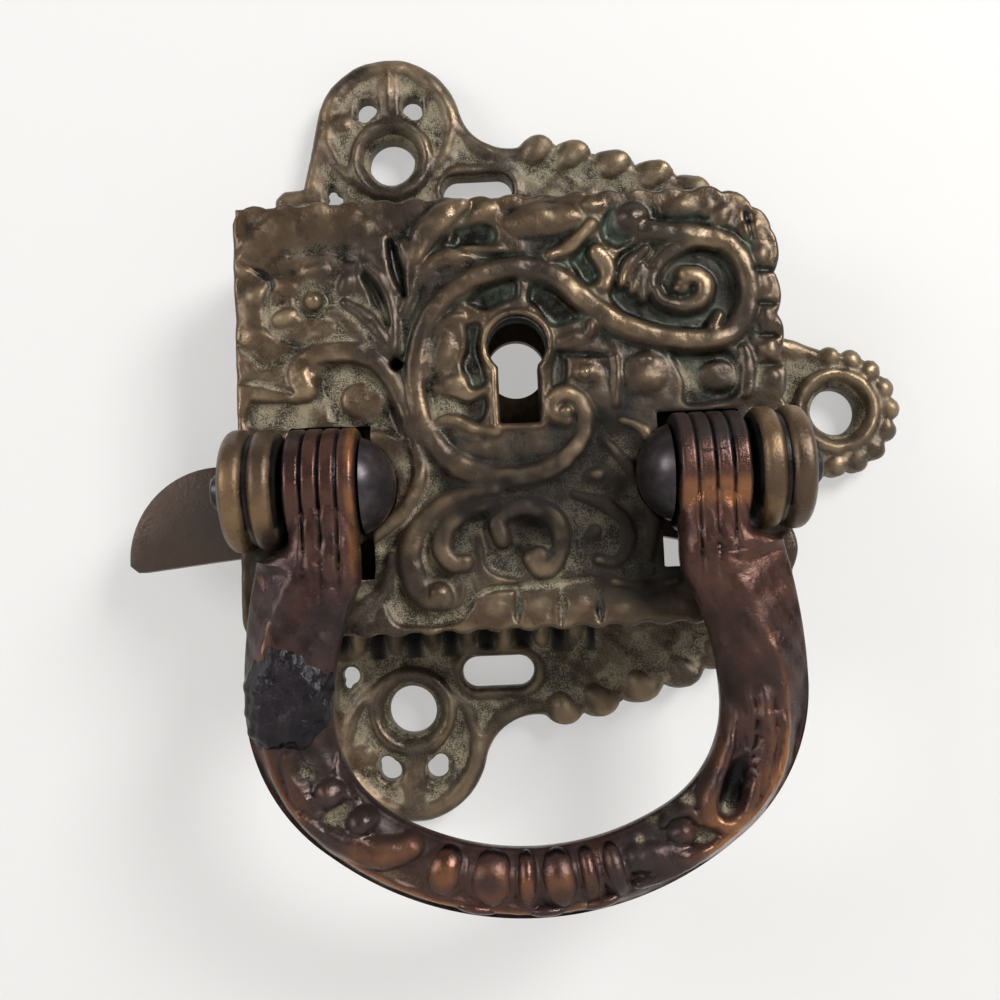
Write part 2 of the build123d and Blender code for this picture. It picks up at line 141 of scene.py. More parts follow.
bronzeTones = {
    "case": {"body": (0.076, 0.050, 0.0305), "second": (0.045, 0.032, 0.0235),
             "dark": (0.0095, 0.0076, 0.0062), "worn": (0.23, 0.160, 0.094), "metal": 0.65, "rough": 0.31},
    "bail": {"body": (0.076, 0.035, 0.0255), "second": (0.040, 0.026, 0.025),
             "dark": (0.008, 0.0056, 0.0062), "worn": (0.28, 0.118, 0.046), "metal": 0.65, "rough": 0.25},
    "ring": {"body": (0.105, 0.064, 0.034), "second": (0.076, 0.049, 0.032),
             "dark": (0.010, 0.008, 0.008), "worn": (0.22, 0.138, 0.074), "metal": 0.65, "rough": 0.30},
    "latch": {"body": (0.066, 0.045, 0.034), "second": (0.050, 0.038, 0.033),
              "dark": (0.024, 0.018, 0.016), "worn": (0.12, 0.085, 0.062), "metal": 0.55, "rough": 0.42},
}
# dust and green are real dirt; the dark grime colour is real grime in places and painted shade in others
dirtAndShadeTones = {"dust": (0.225, 0.190, 0.130), "green": (0.030, 0.044, 0.031),
             "grime": (0.0072, 0.0070, 0.0068)}
# noises are scale, detail and roughness; ranges are where a mask begins and ends, then its two levels
bronzeLook = {
    "fine": (2600, 5.0, 0.65), "broad": (420, 5.0, 0.6), "patch": (120, 3.0, 0.5), "grit": (6500, 3.0, 0.7),
    "broadMiddle": 0.5, "broadLift": 0.5, "secondRange": (0.40, 0.66), "creviceShadeRange": (0.0, -0.34),
    "wearRange": (0.12, 0.75), "wearPatch": (0.62, 0.38), "wearShare": 0.8,
    "pitRange": (0.55, 0.85, 0.0, 0.5), "lowRange": (0.06, -0.26), "greenFloor": 0.2,
    "greenRange": (0.35, 0.6),
    "grimeRange": (0.7, 0.05, 0.35, 1.0), "grimeShare": 0.9, "grimeDull": 0.8,
    "dustFloor": 0.16, "dustFill": 0.12, "grainBroad": 0.7, "grainRange": (0.72, 1.02),
    "gloss": 0.34, "dullRough": 0.35, "roughRange": (0.3, 0.7), "roughSpread": (-0.08, 0.14),
    "bumpBroad": 0.9, "bumpFine": 0.35, "bump": (0.7, 0.0002),
}


def agedBronze(name, tone):
    s = bronzeLook
    mat, tree, shader = newMaterial(name)
    relief = painted(tree, "relief")
    fine, broad, patch, grit = (speckle(tree, *s[key]) for key in ("fine", "broad", "patch", "grit"))
    cloud = times(tree, mathNode(tree, "SUBTRACT", broad, s["broadMiddle"]), s["broadLift"])
    lift = plus(tree, relief, cloud)
    colour = mixColour(tree, stretch(tree, patch, *s["secondRange"]), tone["body"], tone["second"])
    # painted shade: where the relief is low, in hollows and creases, the colour darkens towards the dark
    # tone
    colour = mixColour(tree, stretch(tree, lift, *s["creviceShadeRange"]), colour, tone["dark"])
    wear = times(tree, stretch(tree, lift, *s["wearRange"]), stretch(tree, patch, *s["wearPatch"]))
    colour = mixColour(tree, times(tree, wear, s["wearShare"]), colour, tone["worn"])
    colour = mixColour(tree, stretch(tree, fine, *s["pitRange"]), colour, tone["dark"])
    low = stretch(tree, relief, *s["lowRange"])
    green = times(tree, painted(tree, "green"), plus(tree, low, s["greenFloor"]), True)
    green = times(tree, green, stretch(tree, broad, *s["greenRange"]))
    colour = mixColour(tree, green, colour, dirtAndShadeTones["green"])
    # the grime layer darkens real grime and also paints shade: in the keyhole throat, inside the case, in
    # the ring valleys and on the right eye's top
    grime = times(tree, painted(tree, "grime"), stretch(tree, relief, *s["grimeRange"]), True)
    colour = mixColour(tree, times(tree, grime, s["grimeShare"]), colour, dirtAndShadeTones["grime"])
    dust = times(tree, painted(tree, "dust"), plus(tree, low, s["dustFloor"]), True)
    grains = stretch(tree, plus(tree, grit, times(tree, broad, s["grainBroad"])), *s["grainRange"])
    dust = times(tree, dust, plus(tree, grains, times(tree, dust, s["dustFill"])), True)
    colour = mixColour(tree, dust, colour, dirtAndShadeTones["dust"])
    dull = mathNode(tree, "MAXIMUM", dust, times(tree, grime, s["grimeDull"]))
    clean = mathNode(tree, "SUBTRACT", 1.0, dull, True)
    roughEnds = [tone["rough"] + shift for shift in s["roughSpread"]]
    skinRough = stretch(tree, broad, *s["roughRange"], *roughEnds)
    inputs = {
        "Base Color": colour, "Specular IOR Level": times(tree, clean, s["gloss"]),
        "Metallic": times(tree, clean, tone["metal"]),
        "Roughness": plus(tree, times(tree, dull, s["dullRough"]), skinRough, True),
    }
    for key, value in inputs.items():
        tree.links.new(value, shader.inputs[key])
    skin = plus(tree, times(tree, broad, s["bumpBroad"]), times(tree, fine, s["bumpFine"]))
    bumped(tree, shader, skin, *s["bump"])
    return mat


caseBronze, bailBronze, ringBronze, latchBronze = (
    agedBronze(key + "Bronze", tone) for key, tone in bronzeTones.items())

cloudTones = {
    "pinSteel": {"noise": (420, 5.0, 0.6), "body": (0.046, 0.039, 0.041), "second": (0.017, 0.013, 0.015),
                 "range": (0.35, 0.68), "rough": (0.24, 0.44), "bump": (0.2, 0.00008),
                 "inputs": {"Metallic": 0.65}},
    "springSteel": {"noise": (600, 5.0, 0.6), "body": (0.17, 0.16, 0.15), "second": (0.06, 0.05, 0.045),
                    "range": (0.35, 0.68), "rough": (0.32, 0.52), "bump": (0.2, 0.00008),
                    "inputs": {"Metallic": 0.85}},
    "plateBrass": {"noise": (240, 5.0, 0.6), "body": (0.12, 0.082, 0.042), "second": (0.045, 0.031, 0.018),
                   "range": (0.35, 0.68), "rough": (0.39, 0.59), "bump": (0.2, 0.00008),
                   "inputs": {"Metallic": 0.7}},
    "blackPitch": {"noise": (500, 6.0, 0.65), "body": (0.0036, 0.0024, 0.0038),
                   "second": (0.011, 0.0075, 0.010), "range": (0.4, 0.7), "rough": (0.12, 0.28),
                   "bump": (0.9, 0.0004),
                   "inputs": {"Specular IOR Level": 0.24}},
}


def cloudedMaterial(name, tone):
    mat, tree, shader = newMaterial(name)
    cloud = speckle(tree, *tone["noise"])
    colour = mixColour(tree, stretch(tree, cloud, *tone["range"]), tone["body"], tone["second"])
    tree.links.new(colour, shader.inputs["Base Color"])
    rough = stretch(tree, cloud, *bronzeLook["roughRange"], *tone["rough"])
    tree.links.new(rough, shader.inputs["Roughness"])
    for key, value in tone["inputs"].items():
        shader.inputs[key].default_value = value
    bumped(tree, shader, cloud, *tone["bump"])
    return mat


pinSteel, springSteel, plateBrass, blackPitch = (cloudedMaterial(*item) for item in cloudTones.items())
print("materials made")


# mesh helpers, sizes in millimetres, heights measured from the back plane

def addObject(name, data):
    obj = bpy.data.objects.new(name, data)
    bpy.context.scene.collection.objects.link(obj)
    return obj


def shadeSmooth(mesh, sharp=None):
    mesh.polygons.foreach_set("use_smooth", [True] * len(mesh.polygons))
    if sharp is not None:
        mesh.set_sharp_from_angle(angle=math.radians(sharp))


def buildMesh(name, points, faces, material, sharp=None):
    mesh = bpy.data.meshes.new(name)
    mesh.from_pydata([tuple(p) for p in points], [], faces)
    mesh.materials.append(material)
    shadeSmooth(mesh, sharp)
    return addObject(name, mesh)


def editMesh(mesh, change):
    work = bmesh.new()
    work.from_mesh(mesh)
    change(work)
    work.to_mesh(mesh)
    work.free()


def faceOutward(obj, sharp=None):
    editMesh(obj.data, lambda work: bmesh.ops.recalc_face_normals(work, faces=work.faces))
    shadeSmooth(obj.data, sharp)


def dropFaces(work, unwanted):
    faces = [face for face in work.faces if unwanted(face.calc_center_median() / mm)]
    bmesh.ops.delete(work, geom=faces, context="FACES")


def spotsOf(obj):
    co = np.empty(len(obj.data.vertices) * 3)
    obj.data.vertices.foreach_get("co", co)
    return co.reshape(-1, 3).T / mm


def paint(obj, **fields):
    for name in ("relief", "dust", "green", "grime"):
        layer = obj.data.attributes.new(name, "FLOAT", "POINT")
        values = np.broadcast_to(fields.get(name, 0.0), len(obj.data.vertices))
        layer.data.foreach_set("value", np.ascontiguousarray(values, dtype=np.float32))


def tubeFaces(index):
    ring = np.roll(index, -1, axis=1)
    return np.stack([index[:-1], ring[:-1], ring[1:], index[1:]], axis=-1).reshape(-1, 4).tolist()


def splinePath(points, step=0.3):
    pts = np.array(points, float)
    ext = np.vstack([2 * pts[0] - pts[1], pts, 2 * pts[-1] - pts[-2]])
    out = []
    for i in range(len(pts) - 1):
        p0, p1, p2, p3 = ext[i:i + 4]
        t = np.linspace(0, 1, max(2, int(np.linalg.norm(p2 - p1) / step)), endpoint=False)[:, None]
        out.append(0.5 * (2 * p1 + (p2 - p0) * t + (2 * p0 - 5 * p1 + 4 * p2 - p3) * t ** 2
                          + (3 * p1 - p0 - 3 * p2 + p3) * t ** 3))
    return np.vstack(out + [pts[-1:]])


def nearPath(gx, gz, path):
    # distance to a path, and the share of its length at the nearest point
    best = np.full(gx.shape, np.inf)
    share = np.zeros(gx.shape)
    runs = np.hypot(*np.diff(path, axis=0).T)
    total = runs.sum()
    done = 0.0
    for (ax, az), (bx, bz), run in zip(path[:-1], path[1:], runs):
        if run < tiny:
            continue
        t = np.clip(((gx - ax) * (bx - ax) + (gz - az) * (bz - az)) / run ** 2, 0, 1)
        gap = np.hypot(gx - ax - t * (bx - ax), gz - az - t * (bz - az))
        closer = gap < best
        best = np.where(closer, gap, best)
        share = np.where(closer, (done + t * run) / total, share)
        done += run
    return best, share


def softened(field, cells):
    pad = int(cells * 3) + 2
    wide = np.pad(field, pad, mode="edge")
    fz = np.fft.fftfreq(wide.shape[0])[:, None]
    fx = np.fft.rfftfreq(wide.shape[1])[None, :]
    curve = np.exp(-2 * (math.pi * cells) ** 2 * (fx ** 2 + fz ** 2))
    return np.fft.irfft2(np.fft.rfft2(wide) * curve, s=wide.shape)[pad:-pad, pad:-pad]


def blobs(x, z, spots):
    out = np.zeros(np.shape(x))
    for bx, bz, size, amount in spots:
        out = np.maximum(out, amount * np.exp(-((x - bx) ** 2 + (z - bz) ** 2) / size ** 2))
    return out


def bell(value, at, wide):
    return np.exp(-((value - at) / wide) ** 2)


def boxInside(x, z, cx, cz, w, h):
    dx, dz = np.abs(x - cx) - w / 2, np.abs(z - cz) - h / 2
    return -(np.hypot(np.maximum(dx, 0), np.maximum(dz, 0)) + np.minimum(np.maximum(dx, dz), 0))


def discInside(x, z, cx, cz, r):
    return r - np.hypot(x - cx, z - cz)


def withDiscs(out, x, z, discs):
    for disc in discs:
        out = np.maximum(out, discInside(x, z, *disc))
    return out


def polygonInside(x, z, outline):
    gap, _ = nearPath(x, z, np.vstack([outline, outline[:1]]))
    inside = np.zeros(x.shape, bool)
    for (ax, az), (bx, bz) in zip(outline, np.roll(outline, -1, axis=0)):
        if az != bz:
            inside ^= ((az > z) != (bz > z)) & (x < (bx - ax) * (z - az) / (bz - az) + ax)
    return np.where(inside, gap, -gap)


def dome(x, z, cx, cz, long, wide, turn, power=0.5):
    c, sn = math.cos(math.radians(turn)), math.sin(math.radians(turn))
    dx, dz = x - cx, z - cz
    return np.maximum(0, 1 - (((dx * c + dz * sn) / long) ** 2 + ((dz * c - dx * sn) / wide) ** 2)) ** power


def edgeDrop(gap, r):
    return r - np.sqrt(np.maximum(0, r ** 2 - np.maximum(0, r - gap) ** 2))


sheetSize = {"snap": 0.6, "leastSlope": 0.25, "reliefReach": 1.1, "reliefScale": 0.6, "wallRows": 3,
             "wallShade": -0.15, "tuckShade": -0.4, "backShade": -0.1, "sharp": 55}


def reliefSheet(name, spacing, span, edge, height, backHeight, masks, tuck=0.0, backed=False):
    # a sheet of raised work: grid points near the edge move onto it, then the edges run back as walls
    s = sheetSize
    gx, gz = np.meshgrid(np.arange(span[0], span[1] + spacing, spacing),
                         np.arange(span[2], span[3] + spacing, spacing))
    gap = edge(gx, gz)
    slopeZ, slopeX = np.gradient(gap, spacing)
    steep = np.maximum(slopeX ** 2 + slopeZ ** 2, s["leastSlope"])
    near = np.abs(gap) < s["snap"] * spacing
    px = np.where(near, gx - gap * slopeX / steep, gx)
    pz = np.where(near, gz - gap * slopeZ / steep, gz)
    rise = height(gx, gz, np.where(near, 0, np.maximum(gap, 0)), spacing)
    # relief is the height less its softened height: low in hollows, where it paints shade, and high on
    # raised work, where it paints wear
    relief = np.clip((rise - softened(rise, s["reliefReach"] / spacing)) / s["reliefScale"], -1, 1)
    keep = gap > -s["snap"] * spacing
    index = np.arange(gx.size).reshape(gx.shape)
    corners = np.stack([index[:-1, :-1], index[:-1, 1:], index[1:, 1:], index[1:, :-1]], axis=-1)
    corners = corners.reshape(-1, 4)
    used = keep.ravel()[corners]
    quads = corners[used.all(axis=1)]
    cornerOff = used.sum(axis=1) == 3
    threes = corners[cornerOff][used[cornerOff]].reshape(-1, 3)
    edges = np.concatenate([quads[:, [k, (k + 1) % 4]] for k in range(4)]
                           + [threes[:, [k, (k + 1) % 3]] for k in range(3)])
    key = np.sort(edges, axis=1) @ np.array([gx.size, 1])
    _, first, count = np.unique(key, return_index=True, return_counts=True)
    rim = edges[first[count == 1]]
    onSheet = np.unique(np.concatenate([quads.ravel(), threes.ravel()]))
    renumber = np.full(gx.size, -1)
    renumber[onSheet] = np.arange(len(onSheet))
    x, z, h = (field.ravel()[onSheet] for field in (px, pz, rise))
    faces = renumber[quads].tolist() + renumber[threes].tolist()
    rimPoints = np.unique(rim)
    rimIndex = np.full(gx.size, -1)
    rimIndex[rimPoints] = np.arange(len(rimPoints))
    top = renumber[rimPoints]
    walls = []
    # painted shade: the walls, the tuck under the edge and a backed sheet's back get low relief values,
    # which darken them
    for row in range(1, s["wallRows"] + 1):
        part = row / s["wallRows"]
        level = h[top] + (backHeight - h[top]) * part
        walls.append((np.column_stack([x[top], -level, z[top]]), s["wallShade"]))
    if tuck:
        last = walls[-1][0].copy()
        last[:, [0, 2]] += tuck * np.column_stack([(slope / np.sqrt(steep)).ravel()[rimPoints]
                                                   for slope in (slopeX, slopeZ)])
        walls.append((last, s["tuckShade"]))
    points = [np.column_stack([x, -h, z])]
    tints = [relief.ravel()[onSheet]]
    rows = [top]
    base = len(onSheet)
    for wall, tint in walls:
        points.append(wall)
        tints.append(np.full(len(top), tint))
        rows.append(base + np.arange(len(top)))
        base += len(top)
    if backed:
        points.append(np.column_stack([x, np.full(len(x), -backHeight), z]))
        tints.append(np.full(len(x), s["backShade"]))
        faces += (renumber[quads] + base)[:, ::-1].tolist() + (renumber[threes] + base)[:, ::-1].tolist()
    a, b = rimIndex[rim[:, 0]], rimIndex[rim[:, 1]]
    for upper, lower in zip(rows[:-1], rows[1:]):
        faces += np.column_stack([upper[b], upper[a], lower[a], lower[b]]).tolist()
    points = np.vstack(points)
    obj = buildMesh(name, points * mm, faces, caseBronze, s["sharp"])
    paint(obj, relief=np.concatenate(tints), **masks(points[:, 0], points[:, 2], -points[:, 1]))
    print(name, len(obj.data.polygons), "faces")
    return obj


# hinge sizes that the case, rings, pins and bail share

hingeSize = {"axisZ": -7.1, "height": 16.0, "eyeIn": 14.7, "eyeOut": 21.3, "eyeRadius": 5.6}
hingeSides = ((-1, "Left"), (1, "Right"))


# case front: scalloped plate, cast scrollwork, keyhole and hinge slots

caseSize = {
    "width": 54.0, "height": 43.2, "wallBack": 12.2, "corner": 7.0, "scallop": 2.2, "scallops": 15,
    "sideScallop": 4.2, "sideScallops": 8, "cornerStep": 30.0, "notch": 0.32, "spacing": 0.17,
    "span": (-27.4, 27.4, -22, 22), "tuck": 0.9, "ground": 13.8, "seed": 11, "soft": 0.14,
    "key": (0.7, 6.3), "keyRadius": 2.85, "keySlot": 3.9, "keyDrop": 7.7, "pinHole": (-11.2, 4.9, 0.6),
    "slotDrop": 1.35, "slotWider": 1.4, "slotTaller": 3.9, "headMid": 16.43, "headWell": 4.9,
    "groundStep": 0.5, "groundLip": 0.15, "groundSlope": 0.55,
    "swell": 0.2, "bandFloor": 1.0, "bandCurve": 3.2, "bandPower": 0.7, "moundFloor": 0.8,
    "grooveTip": 0.4, "lipRise": 1.2, "lipAt": 0.4, "lipWide": 0.5, "lipFloor": 0.75,
    "rimRound": 0.5, "rimBand": 2.2, "rimBlend": 1.2, "innerRound": 0.25,
    # uneven skin: reach and rise
    "skin": ((1.1, 0.065), (0.4, 0.04)),
}
# raised bands: points, half widths along the way, rise over the face
scrollBands = [
    ([(5.2, -1.4), (3.9, -0.7), (3.9, 0.5), (5.0, 1.2), (6.4, 0.6), (7.0, -0.7), (6.9, -2.4), (5.6, -4.4),
     (3.3, -6.1), (0.0, -6.8), (-3.4, -6.3), (-6.2, -4.9), (-7.8, -3.2), (-8.9, -1.0), (-9.4, 1.8),
     (-9.3, 4.3), (-8.9, 6.8), (-7.9, 9.3), (-6.4, 11.0), (-4.4, 12.5), (-2.2, 13.4), (0.4, 14.0),
     (3.0, 13.7), (5.4, 12.5), (7.4, 10.5), (9.8, 8.5), (12.3, 7.2), (15.1, 6.3), (18.5, 5.9), (21.2, 6.3),
     (22.8, 7.7), (23.7, 9.9), (23.6, 12.1), (22.9, 14.3), (21.2, 15.8), (18.8, 16.5), (16.0, 16.8),
     (13.6, 17.3)], (0.8, 1.1, 1.5, 1.2, 1.05, 1.2, 1.3, 1.15, 1.1, 1.2), 0.65),
    ([(-20.3, 2.9), (-20.8, 4.6), (-19.4, 6.1), (-16.7, 6.5), (-14.1, 5.8), (-12.3, 4.2), (-11.1, 2.2),
     (-10.3, -0.4), (-9.6, -3.5), (-9.3, -5.6), (-9.7, -7.6), (-10.9, -9.6), (-12.8, -10.9),
     (-15.0, -12.0)], (1.4, 1.35, 1.2, 0.95, 0.8, 0.9, 1.1, 1.0), 0.45),
    ([(-2.0, -7.9), (-4.6, -8.3), (-7.3, -9.2), (-9.3, -10.9), (-10.5, -13.1), (-10.4, -15.8),
     (-9.3, -17.6), (-7.8, -18.0)], (0.9, 1.1, 1.3, 1.45, 1.5, 1.5), 0.75),
    ([(-1.6, -9.1), (-4.7, -9.7), (-6.9, -11.2), (-7.4, -13.2), (-6.6, -14.7), (-5.4, -14.8)],
     (0.7, 1.1, 1.35, 1.3, 1.1), 0.8),
    ([(-1.6, -12.6), (-2.0, -10.9), (-0.5, -9.7), (1.7, -9.7), (3.6, -11.0), (4.1, -13.2), (3.3, -15.2),
     (2.0, -15.6), (1.2, -14.7)], (0.9, 1.2, 1.25, 1.2, 1.1, 1.0), 0.7),
    ([(14.4, 11.0), (14.3, 12.2), (15.0, 13.8), (16.6, 15.1), (18.8, 15.7), (21.0, 15.2)],
     (0.5, 0.75, 0.75, 0.6, 0.5), 0.5),
    ([(14.6, 11.0), (14.9, 10.2), (16.1, 9.6), (17.7, 9.4), (19.0, 10.1), (19.5, 11.4), (18.9, 12.3),
     (17.6, 12.5)], (0.55, 0.7, 0.85, 1.0, 0.9), 0.65),
    ([(-25.9, 15.4), (-23.4, 18.0), (-20.0, 19.3), (-16.3, 19.0), (-13.3, 17.4), (-11.9, 14.9),
     (-11.3, 12.4)], (1.6, 2.5, 2.7, 2.6, 1.6, 0.8), 0.35),
    ([(-13.8, 14.9), (-12.2, 12.9), (-11.4, 9.8), (-11.3, 6.6)], (0.4, 0.7, 0.7, 0.5), 0.5),
    ([(-16.0, 11.2), (-14.3, 10.0), (-12.5, 7.8), (-11.5, 6.2)], (0.5, 0.8, 0.75, 0.5), 0.5),
    ([(-17.2, 10.4), (-15.2, 8.4), (-13.0, 6.9), (-11.9, 5.9)], (0.8, 1.1, 0.9, 0.5), 0.25),
    ([(-10.0, 16.9), (-9.2, 14.9), (-9.5, 12.4), (-10.3, 10.1)], (0.6, 0.95, 0.85, 0.6), 0.5),
    ([(-9.2, 13.2), (-7.2, 14.9), (-4.4, 15.6), (-0.6, 15.9)], (0.7, 1.0, 0.8, 0.5), 0.35),
    ([(-8.9, 15.4), (-7.9, 17.6), (-6.2, 19.3), (-4.3, 20.6)], (0.9, 1.6, 1.6, 1.0), 0.8),
    ([(8.6, 17.9), (6.4, 15.9), (4.4, 14.9)], (0.6, 0.8, 0.6), 0.6),
    ([(9.0, 15.2), (10.0, 13.4), (9.6, 11.8)], (0.9, 1.0, 0.7), 0.45),
    ([(11.3, 11.9), (11.6, 12.9), (12.3, 14.0), (13.8, 15.2)], (0.4, 0.65, 0.5), 0.55),
    ([(12.3, 11.2), (12.6, 12.4), (13.4, 13.6)], (0.4, 0.6, 0.45), 0.5),
    ([(13.3, 10.4), (13.2, 11.8), (13.7, 13.0)], (0.4, 0.55, 0.45), 0.45),
    ([(20.7, 8.3), (20.0, 7.2)], (0.5, 0.6), 0.5),
    ([(22.9, 5.0), (23.2, 3.0), (22.8, 0.6)], (0.5, 0.9, 0.8), 0.4),
    ([(-12.2, -13.8), (-12.8, -16.4), (-14.6, -18.2), (-17.0, -19.4)], (0.6, 0.9, 0.9, 0.7), 0.3),
    ([(10.3, 4.6), (10.3, 2.4), (10.1, 0.0)], (0.45, 0.5, 0.4), 0.35),
    ([(-8.0, -1.9), (-7.2, -0.9), (-5.6, -0.9), (-3.9, -1.8), (-1.6, -2.3)], (0.4, 0.6, 0.6, 0.5), 0.35),
    ([(-8.4, 3.3), (-8.1, 6.0), (-7.1, 8.0), (-5.9, 9.2), (-4.6, 9.4)], (0.35, 0.4, 0.4, 0.35), 0.3),
    ([(5.6, -8.6), (8.2, -9.6), (10.2, -11.4), (10.6, -13.6), (9.4, -15.2), (7.6, -15.0)],
     (0.5, 0.8, 0.9, 0.8, 0.6), 0.4),
    ([(8.6, -3.2), (10.4, -5.4), (12.4, -8.2), (13.2, -11.4), (12.6, -15.0)], (0.4, 0.7, 0.8, 0.7, 0.4),
     0.35),
    ([(10.6, -1.6), (12.6, -2.6), (13.4, -4.6)], (0.4, 0.7, 0.5), 0.35),
    ([(9.0, -17.2), (12.0, -17.8), (15.0, -17.4)], (0.4, 0.7, 0.4), 0.3),
]
# mounds: x, z, half length, half width, turn, rise over the face
leafMounds = [
    (5.2, -0.6, 1.0, 1.0, 0, 0.85), (12.7, 18.5, 1.9, 1.7, 20, 0.9), (-19.1, 11.5, 1.15, 1.15, 0, 0.85),
    (-22.0, 10.0, 1.9, 1.4, 25, 0.5), (-18.1, 8.5, 2.3, 1.3, 30, 0.4), (-15.9, 13.0, 1.7, 1.1, 70, 0.55),
    (-18.7, 14.7, 2.1, 1.0, 5, 0.3), (-21.8, 13.2, 1.7, 1.3, -40, 0.3), (-24.8, 8.2, 2.0, 1.9, 0, 0.3),
    (-24.6, 12.6, 1.6, 1.9, 0, 0.25), (-6.4, 6.2, 1.7, 3.0, -8, 0.35), (-5.6, 2.9, 1.5, 1.4, 0, 0.25),
    (6.2, 6.6, 2.5, 1.3, 15, 0.45), (8.0, 7.6, 0.8, 1.5, -10, 0.8), (7.5, 3.3, 2.2, 1.35, 0, 0.3),
    (7.2, 3.2, 0.8, 0.9, 0, 0.7), (13.2, 3.0, 2.9, 2.7, 0, 0.55), (13.3, 4.2, 1.2, 0.8, -20, 0.75),
    (20.3, 2.4, 2.0, 1.6, 0, 0.1), (3.9, 18.6, 4.6, 2.2, 2, 0.8), (-8.0, -17.6, 1.6, 1.5, 0, 1.15),
    (-5.3, -14.7, 1.2, 1.1, 0, 0.85), (2.0, -14.5, 1.5, 1.3, 0, 0.75), (7.4, -6.9, 2.2, 1.3, 15, 0.4),
    (7.2, -12.4, 1.5, 1.1, 40, 0.4), (-3.0, -4.0, 3.4, 1.6, -12, 0.3), (2.0, -4.2, 2.8, 1.5, 15, 0.2),
    (-14.6, 1.4, 2.3, 2.3, 0, 0.0), (17.2, 11.3, 1.1, 1.0, 0, 0.2), (17.3, 19.4, 2.6, 1.3, -3, 0.25),
    (21.4, 18.2, 1.9, 1.3, 55, 0.35), (24.0, 16.8, 1.6, 1.4, 0, 0.3), (25.1, 14.3, 1.3, 1.5, 0, 0.35),
    (25.2, 11.2, 1.2, 1.5, 0, 0.35), (25.3, 7.8, 1.2, 1.6, 0, 0.35), (25.4, 4.7, 1.2, 1.4, 0, 0.5),
    (25.3, 2.0, 1.2, 1.3, 0, 0.45), (8.9, 20.0, 1.7, 1.2, 10, 0.35), (-1.8, 20.0, 1.8, 1.2, 0, 0.35),
    (-2.6, -19.4, 2.1, 1.7, 15, 0.2), (1.6, -19.3, 2.0, 1.8, 0, 0.2), (5.7, -19.4, 2.0, 1.7, 0, 0.2),
    (9.4, -19.8, 2.0, 1.3, 0, 0.15), (-13.0, -17.0, 1.0, 1.0, 0, 0.2), (-24.4, -14.0, 1.8, 4.0, 0, 0.2),
    (-24.5, -19.0, 1.8, 1.6, 0, 0.3),
]
# sunk grounds: outline and depth under the face
sunkGrounds = [
    ([(-8.2, 2.3), (-8.1, 0.0), (-7.2, -0.7), (-5.1, -0.5), (-3.2, -1.2), (-2.5, 0.1), (-2.6, 1.6),
     (-4.2, 0.9), (-5.4, 1.3), (-7.1, 1.9)], 0.95),
    ([(-4.4, 8.6), (-4.3, 6.2), (-4.9, 4.6), (-4.0, 2.2), (-2.5, 2.6), (-2.7, 4.7), (-3.1, 6.5),
     (-2.7, 8.8)], 0.9),
    ([(-4.2, 10.8), (-1.9, 12.5), (0.8, 12.9), (0.8, 11.0), (-0.3, 10.7), (-2.2, 9.9)], 0.9),
    ([(2.4, 12.5), (4.7, 11.5), (6.5, 9.9), (6.9, 8.8), (5.2, 8.0), (3.8, 8.4), (2.8, 9.9), (2.0, 10.8)],
     1.0),
    ([(4.2, 5.7), (5.6, 4.8), (5.3, 2.2), (4.2, 1.6), (3.7, 3.0)], 0.7),
    ([(10.2, 12.7), (11.5, 15.2), (14.0, 16.0), (18.8, 15.6), (21.3, 14.6), (22.6, 12.0), (22.7, 9.6),
     (21.2, 7.2), (18.0, 6.7), (14.5, 7.2), (11.8, 8.7), (10.1, 10.6)], 0.95),
    ([(20.9, 12.9), (22.2, 12.0), (22.5, 9.8), (21.8, 8.3), (20.8, 9.3)], 1.9),
    ([(15.6, 5.0), (18.5, 4.9), (21.5, 4.7), (22.3, 2.5), (21.5, 0.0), (17.0, -0.3), (16.8, 2.0)], 0.8),
    ([(-25.6, 2.0), (-21.2, 1.6), (-18.6, 2.3), (-17.6, 0.6), (-17.8, -0.9), (-25.8, -0.9)], 0.5),
    ([(-19.2, 3.0), (-18.6, 4.8), (-16.4, 5.4), (-14.2, 4.8), (-12.6, 3.0), (-11.6, 0.4), (-11.0, -2.4),
     (-13.5, -1.4), (-17.5, -1.0), (-18.4, 1.0)], 0.75),
    ([(-4.8, 18.2), (-2.4, 18.8), (-0.8, 18.0), (-1.0, 16.6), (-3.2, 16.2), (-5.2, 16.5)], 0.8),
    ([(6.2, 14.6), (8.0, 16.4), (9.4, 15.9), (9.0, 12.6), (7.8, 12.0)], 0.8),
    ([(9.4, 18.0), (10.6, 19.4), (10.8, 17.4), (12.6, 16.4), (11.2, 15.4), (9.6, 16.4)], 0.6),
    ([(14.6, 18.2), (16.0, 18.6), (19.0, 18.5), (21.0, 17.2), (24.0, 15.6), (24.6, 12.5), (24.4, 14.8),
     (22.0, 16.9), (19.0, 17.8), (15.6, 17.9)], 0.8),
    ([(-10.6, -8.4), (-11.4, -10.9), (-14.0, -12.4), (-14.0, -15.4), (-12.4, -13.6), (-11.6, -12.0),
     (-10.2, -9.8)], 1.1),
    ([(-9.6, -11.4), (-9.2, -15.9), (-7.6, -16.3), (-6.4, -16.0), (-8.4, -14.2), (-8.6, -12.0)], 1.1),
    ([(-3.4, -9.9), (-3.4, -13.2), (-3.0, -15.6), (0.2, -16.4), (0.0, -13.0), (-1.2, -13.4), (-2.9, -12.0)],
     0.9),
    ([(-0.6, -11.0), (1.4, -11.1), (2.7, -12.0), (2.6, -13.3), (0.6, -13.4), (-0.6, -12.6)], 0.8),
    ([(-13.4, -17.4), (-11.4, -16.2), (-10.6, -18.6), (-8.2, -19.6), (-5.8, -18.8), (-5.0, -16.6),
     (-4.4, -18.4), (-6.0, -20.4), (-9.0, -20.9), (-12.2, -20.4)], 0.6),
    ([(-17.2, 12.6), (-17.4, 10.2), (-20.6, 10.0), (-21.0, 12.4), (-19.6, 13.6)], 0.5),
]
